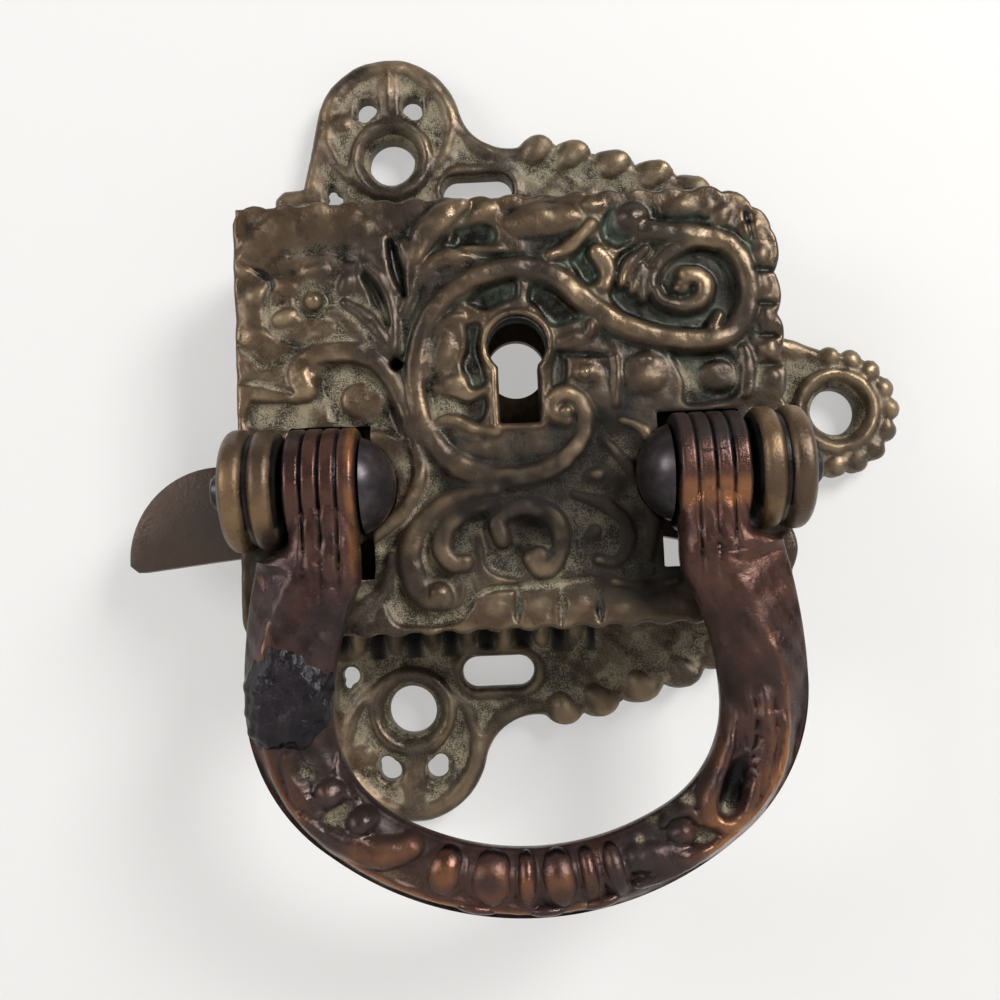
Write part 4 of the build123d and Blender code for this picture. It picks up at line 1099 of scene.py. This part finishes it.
# raised leaf work: points, half widths along the way, rise
bailBands = [
    ([(18.4, -28.6), (17.6, -32.0), (16.6, -34.3), (15.9, -36.2), (15.7, -37.6), (16.3, -38.9),
     (17.8, -39.2), (18.8, -38.5)], (0.4, 0.9, 1.0, 1.05, 0.85), 1.0),
    ([(19.7, -26.5), (19.9, -30.0), (19.6, -33.0)], (0.3, 0.6, 0.3), 0.4),
    ([(21.2, -26.5), (21.3, -31.2), (21.0, -33.2), (20.4, -35.1), (19.6, -36.8), (19.0, -38.2)],
     (0.4, 0.85, 0.95, 0.95, 0.5), 0.95),
    ([(22.8, -26.5), (22.7, -30.6), (22.4, -33.3), (21.6, -35.9), (19.9, -38.5), (17.7, -40.4),
     (15.1, -41.9), (12.3, -43.0), (9.2, -43.9)], (0.4, 0.8, 1.0, 1.05, 1.05, 0.95, 0.5), 0.9),
    ([(24.0, -28.5), (23.6, -33.4), (22.0, -37.3), (19.3, -40.6), (15.6, -43.2), (11.0, -45.1),
     (5.7, -46.0), (0.0, -46.2)], (0.3, 0.6, 0.65, 0.7, 0.6), 0.35),
    ([(9.2, -41.7), (11.4, -41.8), (13.5, -41.9), (15.5, -41.2)], (1.35, 1.6, 1.3, 0.6), 1.0),
    ([(11.6, -38.9), (12.4, -38.1), (13.9, -37.8), (15.0, -38.8)], (0.4, 0.6, 0.5), 0.5),
    ([(-21.6, -31.5), (-21.3, -33.0), (-20.6, -35.0), (-19.4, -36.6)], (0.7, 0.95, 1.0, 0.8), 0.65),
    ([(-20.6, -36.8), (-18.3, -38.6), (-16.2, -39.6), (-14.0, -40.3), (-12.0, -40.2), (-10.9, -39.8)],
     (0.6, 1.0, 1.4, 1.6, 1.2), 0.95),
    ([(-24.0, -29.0), (-22.3, -34.9), (-19.5, -38.7), (-15.6, -41.8), (-11.6, -43.7), (-7.0, -45.1),
     (0.0, -46.2)], (0.5, 0.65, 0.7, 0.7, 0.6), 0.35),
    ([(-16.6, -30.6), (-16.9, -33.4), (-16.2, -35.2)], (0.5, 0.7, 0.4), 0.3),
]
# mounds and hollows: x, z, half length, half width, turn, rise or depth
bailMounds = [
    (13.2, -39.7, 1.4, 1.2, 0, 1.1), (-18.0, -34.9, 1.7, 1.4, 30, 1.1), (-15.2, -37.5, 1.5, 1.3, 30, 1.05),
]
bailHollows = [
    (18.1, -35.8, 3.2, 1.15, 68, 1.0), (15.4, -40.0, 1.6, 0.8, 30, 0.6), (-17.5, -36.9, 1.7, 0.8, 42, 0.6),
    (-20.2, -33.0, 1.1, 0.8, 0, 0.45), (20.6, -33.6, 3.6, 0.35, 83, 0.35),
    (22.0, -33.6, 3.6, 0.35, 80, 0.35),
]
bailStains = {
    "dust": [(15.4, -40.1, 1.4, 1.0), (17.4, -38.2, 0.9, 0.9), (-17.5, -36.9, 1.5, 1.0),
             (-20.2, -32.9, 1.1, 1.0), (-14, -42.4, 2.0, 0.8), (-11, -43.5, 1.6, 0.5),
             (14.0, -36.9, 0.5, 3), (12.2, -37.5, 0.5, 3), (10.7, -38.5, 0.4, 3), (9.5, -40.2, 0.35, 3)],
    "green": [(3, -44.6, 2.4, 0.9), (6, -44.4, 2.0, 0.7)],
    "grime": [(17.6, -27, 3.4, 0.9), (16.2, -22, 3.0, 0.8), (-20.4, -31.2, 2.6, 1.0),
              (-17.4, -30.4, 1.6, 1.0), (12, -37.6, 2.6, 0.9), (9, -40, 2, 0.8), (0, -40.9, 5, 0.7),
              (-9, -39.6, 4, 0.8), (18, -4, 3, 0.8), (15.6, -36, 1.2, 0.3), (19, -22, 3.2, 0.7),
              (20.5, -26, 2.6, 0.6)],
}
knopSize = {
    "segments": 32, "rings": 20, "rise": 18.75, "wearFrom": 20.0, "wearScale": 1.6, "carved": 6,
    # along x, down z, half widths across, through and along the grip, lean
    "lumps": [(7.2, -42.7, 1.35, 2.1, 2.5, 14), (4.9, -43.1, 1.15, 2.05, 2.6, 10),
              (2.2, -43.4, 2.0, 2.2, 2.7, 5), (-0.7, -43.4, 1.2, 2.1, 2.6, 0),
              (-3.9, -43.2, 2.4, 2.2, 2.6, -8), (-8.0, -42.3, 2.0, 2.15, 2.4, -18),
              (5.9, -45.4, 2.0, 1.5, 0.7, 14), (1.0, -46.0, 2.0, 1.5, 0.65, 2),
              (-5.4, -45.5, 2.2, 1.5, 0.65, -12)],
}


def arcSpan(start, end, centre):
    a0, a1 = (math.atan2(p[1] - centre[1], p[0] - centre[0]) for p in (start, end))
    count = bailSize["arcSteps"]
    return arcPoints(centre, math.dist(start, centre), a0, a1 - a0, range(1, count + 1), count)


def bailSections():
    # outer and inner edge points and the front's height, from the left eye round to the right one
    s = bailSize
    outer, inner = (sum((arcSpan(*arc) for arc in s[key]), []) for key in ("outer", "inner"))
    strap = splinePath(s["strap"] + [(*outer[0], *inner[0])], s["step"])[:-1]
    half = np.vstack([strap, np.hstack([np.array(outer), np.array(inner)])])
    half = np.column_stack([half, np.interp(-half[:, 1], *np.array([(-z, h) for z, h in s["front"]]).T)])
    return np.vstack([half * np.array([-1, 1, -1, 1, 1]), half[::-1][1:]])


def grooveFade(z):
    return np.clip((z - bailSize["grooveEnd"]) / bailSize["grooveFade"], 0, 1)


def goldWear(x, z, fade=1.0):
    (leftX, leftWide, leftRise), (rightZ, rightWide, rightRise) = bailSize["goldLeft"], bailSize["goldRight"]
    return leftRise * bell(x, leftX, leftWide) * fade + rightRise * bell(z, rightZ, rightWide) * (x > 0)


def bailCarving(x, z):
    s = bailSize
    carve = np.zeros(x.shape)
    for points, halves, rise in bailBands:
        away, share = nearPath(x, z, splinePath(points))
        fadeIn = np.clip(share / s["fadeShare"], 0, 1) if points[0][1] > s["fadeAbove"] else 1.0
        band = np.maximum(0, 1 - (away / widthAlong(share, halves)) ** s["bandCurve"]) ** s["bandPower"]
        carve = np.maximum(carve, rise * fadeIn * band)
    for *mound, rise in bailMounds:
        carve = np.maximum(carve, rise * dome(x, z, *mound, s["moundPower"]))
    for cx, cz, wide, _, long, lean in knopSize["lumps"][:knopSize["carved"]]:
        seat = dome(x, z, cx, cz, wide * s["knopWider"], long, lean, s["knopPower"])
        carve = np.maximum(carve, s["knopRise"] * seat)
    for *hollow, depth in bailHollows:
        carve = carve - depth * dome(x, z, *hollow, 1)
    for gx in s["grooves"]:
        carve = carve - s["grooveDeep"] * grooveFade(z) * bell(np.abs(x), gx, s["grooveWide"])
    return carve


def bailPiece():
    s = bailSize
    loop = bailSections()
    phi = np.linspace(0, math.tau, s["around"], endpoint=False)
    u, v = (np.sign(wave) * np.abs(wave) ** (2 / s["boxy"]) for wave in (np.cos(phi), np.sin(phi)))
    u = s["squeeze"] * u
    mid, arm = (loop[:, 0:2] + loop[:, 2:4]) / 2, (loop[:, 0:2] - loop[:, 2:4]) / 2
    x = mid[:, :1] + arm[:, :1] * u
    z = mid[:, 1:] + arm[:, 1:] * u
    deep = (loop[:, 4:5] - s["back"]) / 2
    h = s["back"] + deep + deep * v
    front = np.clip(v * s["frontRamp"], 0, 1)[None, :] * np.ones(x.shape)
    carve = bailCarving(x, z)
    level = loop[:, 1:2]
    right, left = (np.interp(-level, *s[key]) for key in ("bevelRight", "bevelLeft"))
    begin = np.where(loop[:, :1] > 0, right, left)
    slope = np.clip((s["bevelFrom"] - level) / s["bevelBlend"], 0, 1)
    slope = slope * np.clip((u - begin) / (1 - begin), 0, 1)
    # the carving lies a little below the arms' face, which is slightly uneven
    sunk = s["sunk"] * np.clip((s["sunkFrom"] - z) / s["sunkBlend"], 0, 1)
    uneven = 0.04 * np.sin(x * 3.1 + z * 2.3) + 0.05 * np.sin(x * 1.3 - z * 1.7 + 0.8)
    h = h + front * (carve - sunk + uneven) - s["bevel"] * slope * np.clip(v, 0, 1)
    points = np.stack([x, -h, z], axis=-1).reshape(-1, 3)
    index = np.arange(x.size).reshape(x.shape)
    faces = tubeFaces(index) + [index[0][::-1].tolist(), index[-1].tolist()]
    obj = buildMesh("bailLoop", points * mm, faces, bailBronze)
    faceOutward(obj, s["sharp"])
    worn = s["wearRise"] * bell(u, begin, s["wearWide"])
    worn = worn * np.clip((s["wearFrom"] - level) / s["wearBlend"], 0, 1) * front
    gold = goldWear(x, z, grooveFade(z)) * front
    # low carving gives low relief, which paints shade in the hollows; the worn edge and gold places are wear
    tint = np.clip((carve - s["tintFrom"]) * s["tintScale"] + worn + gold, -1, 1)
    masks = {name: (field * front).ravel() for name, field in stained(x, z, bailStains).items()}
    paint(obj, relief=tint.ravel(), **masks)
    print("bailLoop", len(obj.data.polygons), "faces")
    return obj


bailLoop = bailPiece()

eyeSize = {"shoulder": 0.5, "corner": 0.45, "steps": 48, "sides": 120, "wearScale": 0.8, "wearFrom": 0.06,
           "grimeFrom": -4.5, "grime": 0.55}


def eyeProfile(side):
    s, inner, outer, radius = eyeSize, hingeSize["eyeIn"], hingeSize["eyeOut"], hingeSize["eyeRadius"]
    profile = [(side * inner, 0.0), (side * inner, radius - s["shoulder"])]
    for i in range(s["steps"] + 1):
        x = inner + (outer - inner) * i / s["steps"]
        cut = sum(bailSize["grooveDeep"] * bell(x, g, bailSize["grooveWide"]) for g in bailSize["grooves"])
        corner = s["corner"] * max(0, 1 - min(x - inner, outer - x) / s["shoulder"]) ** 2
        profile.append((side * x, radius - cut - corner))
    return profile + [(side * outer, radius - s["shoulder"]), (side * outer, 0.0)]


def eyePiece(side, word):
    s = eyeSize
    eye = turned("bailEye" + word, eyeProfile(side), bailBronze, s["sides"])
    x, y, z = spotsOf(eye)
    # painted shade in the eye's grooves by low relief, and on the top of the right eye, which sits down in
    # its slot; the gold places are wear
    worn = (fromAxis(y, z) - hingeSize["eyeRadius"]) / s["wearScale"] - s["wearFrom"]
    paint(eye, relief=np.clip(worn + goldWear(x, z), -0.6, 0.6),
          grime=np.where((z > s["grimeFrom"]) & (x > 0), s["grime"], 0.0))
    return eye


bailEyes = [eyePiece(*item) for item in hingeSides]

hornSize = {"from": 14.9, "to": 21.1, "front": 15.5, "clear": 5.65}


def notHorn(c):
    s = hornSize
    return not (s["from"] < c.x < s["to"] and -c.y < s["front"] and fromAxis(c.y, c.z) > s["clear"])


camHorn = mergedCopy("bail_handle", "camHorn", bailBronze)
editMesh(camHorn.data, lambda work: dropFaces(work, notHorn))


def knopTree():
    tree = bpy.data.node_groups.new("gripKnops", "GeometryNodeTree")
    ids = {}
    kinds = {"Geometry": "Geometry", "Segments": "Int", "Rings": "Int", "Finish": "Material"}
    for name, kind in kinds.items():
        socket = tree.interface.new_socket(name, in_out="INPUT", socket_type="NodeSocket" + kind)
        ids[name] = socket.identifier
    tree.interface.new_socket("Geometry", in_out="OUTPUT", socket_type="NodeSocketGeometry")
    enter, leave = addNode(tree, "NodeGroupInput"), addNode(tree, "NodeGroupOutput")
    size = addNode(tree, "GeometryNodeInputNamedAttribute", data_type="FLOAT_VECTOR", Name="size")
    lean = addNode(tree, "GeometryNodeInputNamedAttribute", data_type="FLOAT", Name="lean")
    ball = addNode(tree, "GeometryNodeMeshUVSphere", Radius=1.0)
    place = addNode(tree, "GeometryNodeInstanceOnPoints")
    turn, real = addNode(tree, "ShaderNodeCombineXYZ"), addNode(tree, "GeometryNodeRealizeInstances")
    finish = addNode(tree, "GeometryNodeSetMaterial")
    links = ((enter, "Segments", ball, "Segments"), (enter, "Rings", ball, "Rings"),
             (enter, "Geometry", place, "Points"), (ball, "Mesh", place, "Instance"),
             (lean, "Attribute", turn, "Y"), (turn, "Vector", place, "Rotation"),
             (size, "Attribute", place, "Scale"), (place, "Instances", real, "Geometry"),
             (real, "Geometry", finish, "Geometry"), (enter, "Finish", finish, "Material"),
             (finish, "Geometry", leave, "Geometry"))
    for source, output, target, socket in links:
        tree.links.new(source.outputs[output], target.inputs[socket])
    return tree, ids


def evaluatedMesh(obj):
    return bpy.data.meshes.new_from_object(obj.evaluated_get(bpy.context.evaluated_depsgraph_get()))


def gripKnopsPiece():
    s = knopSize
    lumps = np.array(s["lumps"])
    mesh = bpy.data.meshes.new("knopPoints")
    mesh.from_pydata([(x * mm, -s["rise"] * mm, z * mm) for x, z in lumps[:, :2]], [], [])
    sizes = mesh.attributes.new("size", "FLOAT_VECTOR", "POINT")
    sizes.data.foreach_set("vector", (lumps[:, 2:5] * mm).ravel())
    leans = mesh.attributes.new("lean", "FLOAT", "POINT")
    leans.data.foreach_set("value", np.radians(-lumps[:, 5]))
    holder = addObject("knopPoints", mesh)
    tree, ids = knopTree()
    mod = holder.modifiers.new("knops", "NODES")
    mod.node_group = tree
    for name, value in (("Segments", s["segments"]), ("Rings", s["rings"]), ("Finish", bailBronze)):
        mod[ids[name]] = value
    baked = evaluatedMesh(holder)
    bpy.data.objects.remove(holder)
    baked.name = "gripKnops"
    baked.materials.clear()
    baked.materials.append(bailBronze)
    baked.polygons.foreach_set("material_index", [0] * len(baked.polygons))
    shadeSmooth(baked)
    knops = addObject("gripKnops", baked)
    _, y, _ = spotsOf(knops)
    # the knops' lower sides, near the loop, get low relief, which paints shade under them; their tops get
    # wear
    paint(knops, relief=np.clip((-y - s["wearFrom"]) / s["wearScale"], -0.5, 0.6))
    return knops


gripKnops = gripKnopsPiece()
print("bail carved")


# black lump of old paint or pitch stuck on the left arm

lumpSize = {"at": (-21.6, 19.2, -25.9), "radii": (4.1, 2.5, 5.6), "turn": 8.0, "rings": 72, "sides": 110,
            "pole": 0.02, "rough": 0.05625, "dish": 0.6, "dishAt": (0.05, -0.1), "dishWide": 0.4,
            "top": 21.75}


def pitchLumpPiece():
    s = lumpSize
    theta = np.linspace(s["pole"], math.pi - s["pole"], s["rings"])[:, None]
    phi = np.linspace(0, math.tau, s["sides"], endpoint=False)[None, :]
    nx, ny, nz = np.sin(theta) * np.cos(phi), np.sin(theta) * np.sin(phi), np.cos(theta) * np.ones(phi.shape)
    # crumpled surface from three sizes of wave
    wave = (np.sin(5 * nx + 3.1 * nz + 1.0) * np.sin(4.3 * nz - 2.2 * ny)
            + 0.6 * np.sin(9 * nx - 7 * nz + 0.5) * np.sin(8 * nz + 6 * ny + 2)
            + 0.35 * np.sin(17 * nx + 13 * nz) * np.sin(15 * nz - 11 * nx + 1.0))
    size = 1 + s["rough"] * wave
    c, sn = math.cos(math.radians(s["turn"])), math.sin(math.radians(s["turn"]))
    dx, dz = s["radii"][0] * nx * size, s["radii"][2] * nz * size
    x, z = s["at"][0] + dx * c + dz * sn, s["at"][2] - dx * sn + dz * c
    sink = s["dish"] * blobs(nx, nz, [(*s["dishAt"], s["dishWide"], 1)]) * (ny > 0)
    h = np.minimum(s["at"][1] + s["radii"][1] * ny * size - sink, s["top"])
    index = np.arange(x.size).reshape(x.shape)
    faces = tubeFaces(index) + [index[0].tolist(), index[-1][::-1].tolist()]
    obj = buildMesh("pitchLump", np.stack([x, -h, z], axis=-1).reshape(-1, 3) * mm, faces, blackPitch)
    faceOutward(obj)
    return obj


pitchLump = pitchLumpPiece()


# latch tongue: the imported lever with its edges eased

latchSize = {"ease": 0.35, "segments": 3, "sharp": 40}


def latchPiece():
    s = latchSize
    lever = mergedCopy("latch_lever", "latchTongue", latchBronze)
    ease = lever.modifiers.new("ease", "BEVEL")
    ease.width = s["ease"] * mm
    ease.segments = s["segments"]
    ease.limit_method = "ANGLE"
    ease.angle_limit = math.radians(s["sharp"])
    lever.data = evaluatedMesh(lever)
    lever.modifiers.clear()
    shadeSmooth(lever.data, s["sharp"])
    return lever


latchTongue = latchPiece()
latchSpring = mergedCopy("latch_spring", "latchSpring", springSteel)

for piece in (caseFront, caseFlange, caseShell, *hingeRings):
    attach(piece, "case")
    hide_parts("lock_case")
for piece, node in zip(pivotPins, ("pivot_pin_left", "pivot_pin_right")):
    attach(piece, "case")
    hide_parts(node)
for piece in (bailLoop, *bailEyes, camHorn, gripKnops):
    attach(piece, "bail")
    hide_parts("bail_handle")
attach(pitchLump, "bail")
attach(latchTongue, "latch")
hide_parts("latch_lever")
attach(latchSpring, "case")
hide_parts("latch_spring")
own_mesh(latchSpring)
nodeFinish = {"back_plate": plateBrass, "latch_stud": pinSteel, "dog_stud": pinSteel,
              "dog_spring": springSteel, "lock_dog": latchBronze}
for node, mat in nodeFinish.items():
    mesh = frame["nodes"][node].data
    mesh.materials.clear()
    mesh.materials.append(mat)
print("pieces ride their bodies")


# stage: white sheet behind, pale floor, soft light and the camera

stageSize = {"sheetGap": 0.0012, "sheet": 0.9, "floor": -0.066, "white": (0.62, 0.615, 0.605), "rough": 0.8,
             "gloss": 0.2, "glow": (0.88, 0.872, 0.856), "seen": 0.5,
             "sky": (1.0, 0.985, 0.96), "skySeen": 0.65, "skyLight": 0.24}


def paleStage(name):
    # evenly white to the camera and in reflections, and clear from behind
    s = stageSize
    mat, tree, shader = newMaterial(name)
    looks = {"Base Color": s["white"], "Roughness": s["rough"], "Specular IOR Level": s["gloss"]}
    for key, value in looks.items():
        feed(tree, shader.inputs[key], value)
    path, face = addNode(tree, "ShaderNodeLightPath"), addNode(tree, "ShaderNodeNewGeometry")
    glow = addNode(tree, "ShaderNodeEmission", Strength=1.0)
    clear = addNode(tree, "ShaderNodeBsdfTransparent")
    feed(tree, glow.inputs["Color"], s["glow"])
    mix, side = addNode(tree, "ShaderNodeMixShader"), addNode(tree, "ShaderNodeMixShader")
    rays = mathNode(tree, "MAXIMUM", path.outputs["Is Camera Ray"], path.outputs["Is Glossy Ray"])
    mixed = ((mix, times(tree, rays, s["seen"]), shader, glow),
             (side, face.outputs["Backfacing"], mix, clear))
    for node, share, first, second in mixed:
        for socket, value in enumerate((share, first.outputs[0], second.outputs[0])):
            tree.links.new(value, node.inputs[socket])
    tree.links.new(side.outputs[0], tree.nodes["Material Output"].inputs["Surface"])
    return mat


def flatSheet(name, corners, mat):
    obj = buildMesh(name, corners, [(0, 1, 2, 3)], mat)
    return obj


half, floorZ, gap = stageSize["sheet"], stageSize["floor"], stageSize["sheetGap"]
backSheet = flatSheet("backSheet", [(-half, gap, floorZ), (half, gap, floorZ), (half, gap, half),
                                    (-half, gap, half)], paleStage("paperWhite"))
backSheet.visible_shadow = False
flatSheet("floorSheet", [(-half, -half, floorZ), (half, -half, floorZ), (half, gap, floorZ),
                         (-half, gap, floorZ)], paleStage("floorWhite"))


def makeWorld():
    world = bpy.data.worlds.new("studio")
    bpy.context.scene.world = world
    world.use_nodes = True
    tree = world.node_tree
    sky = tree.nodes["Background"]
    feed(tree, sky.inputs["Color"], stageSize["sky"])
    seen = times(tree, addNode(tree, "ShaderNodeLightPath").outputs["Is Camera Ray"], stageSize["skySeen"])
    tree.links.new(plus(tree, seen, stageSize["skyLight"]), sky.inputs["Strength"])


makeWorld()

lampSize = {
    "key": {"at": (0.28, -0.34, 0.22), "size": 0.17, "power": 3.0},
    "fill": {"at": (-0.36, -0.26, 0.12), "size": 0.18, "power": 1.0},
    "low": {"at": (0.05, -0.30, -0.30), "size": 0.30, "power": 0.35},
}
for name, spec in lampSize.items():
    lamp = bpy.data.lights.new(name, "AREA")
    lamp.size = spec["size"]
    lamp.energy = spec["power"]
    holder = addObject(name, lamp)
    holder.location = spec["at"]
    holder.rotation_mode = "QUATERNION"
    holder.rotation_quaternion = (-Vector(spec["at"])).to_track_quat("-Z", "Y")

cameraSize = {"at": (-1.23, -113.8, -15.9), "up": 4.03, "left": 0.23, "roll": 2.57, "focal": 1034.0,
              "frame": 1000.0, "sensor": 36.0, "clip": (0.005, 10)}


def makeCamera():
    s = cameraSize
    cam = addObject("camera", bpy.data.cameras.new("camera"))
    up, left, roll = (math.radians(s[k]) for k in ("up", "left", "roll"))
    ahead = Vector((-math.sin(left) * math.cos(up), math.cos(left) * math.cos(up), math.sin(up)))
    right = ahead.cross(Vector((0, 0, 1))).normalized()
    top = right.cross(ahead)
    turnedRight = right * math.cos(roll) - top * math.sin(roll)
    turnedTop = right * math.sin(roll) + top * math.cos(roll)
    turn = Matrix((turnedRight, turnedTop, -ahead)).transposed()
    cam.matrix_world = Matrix.Translation(Vector(s["at"]) * mm) @ turn.to_4x4()
    cam.data.sensor_width = s["sensor"]
    cam.data.lens = s["sensor"] * s["focal"] / s["frame"]
    cam.data.clip_start, cam.data.clip_end = s["clip"]
    bpy.context.scene.camera = cam


makeCamera()
bpy.context.scene.view_settings.view_transform = "Standard"
print("stage and camera set")
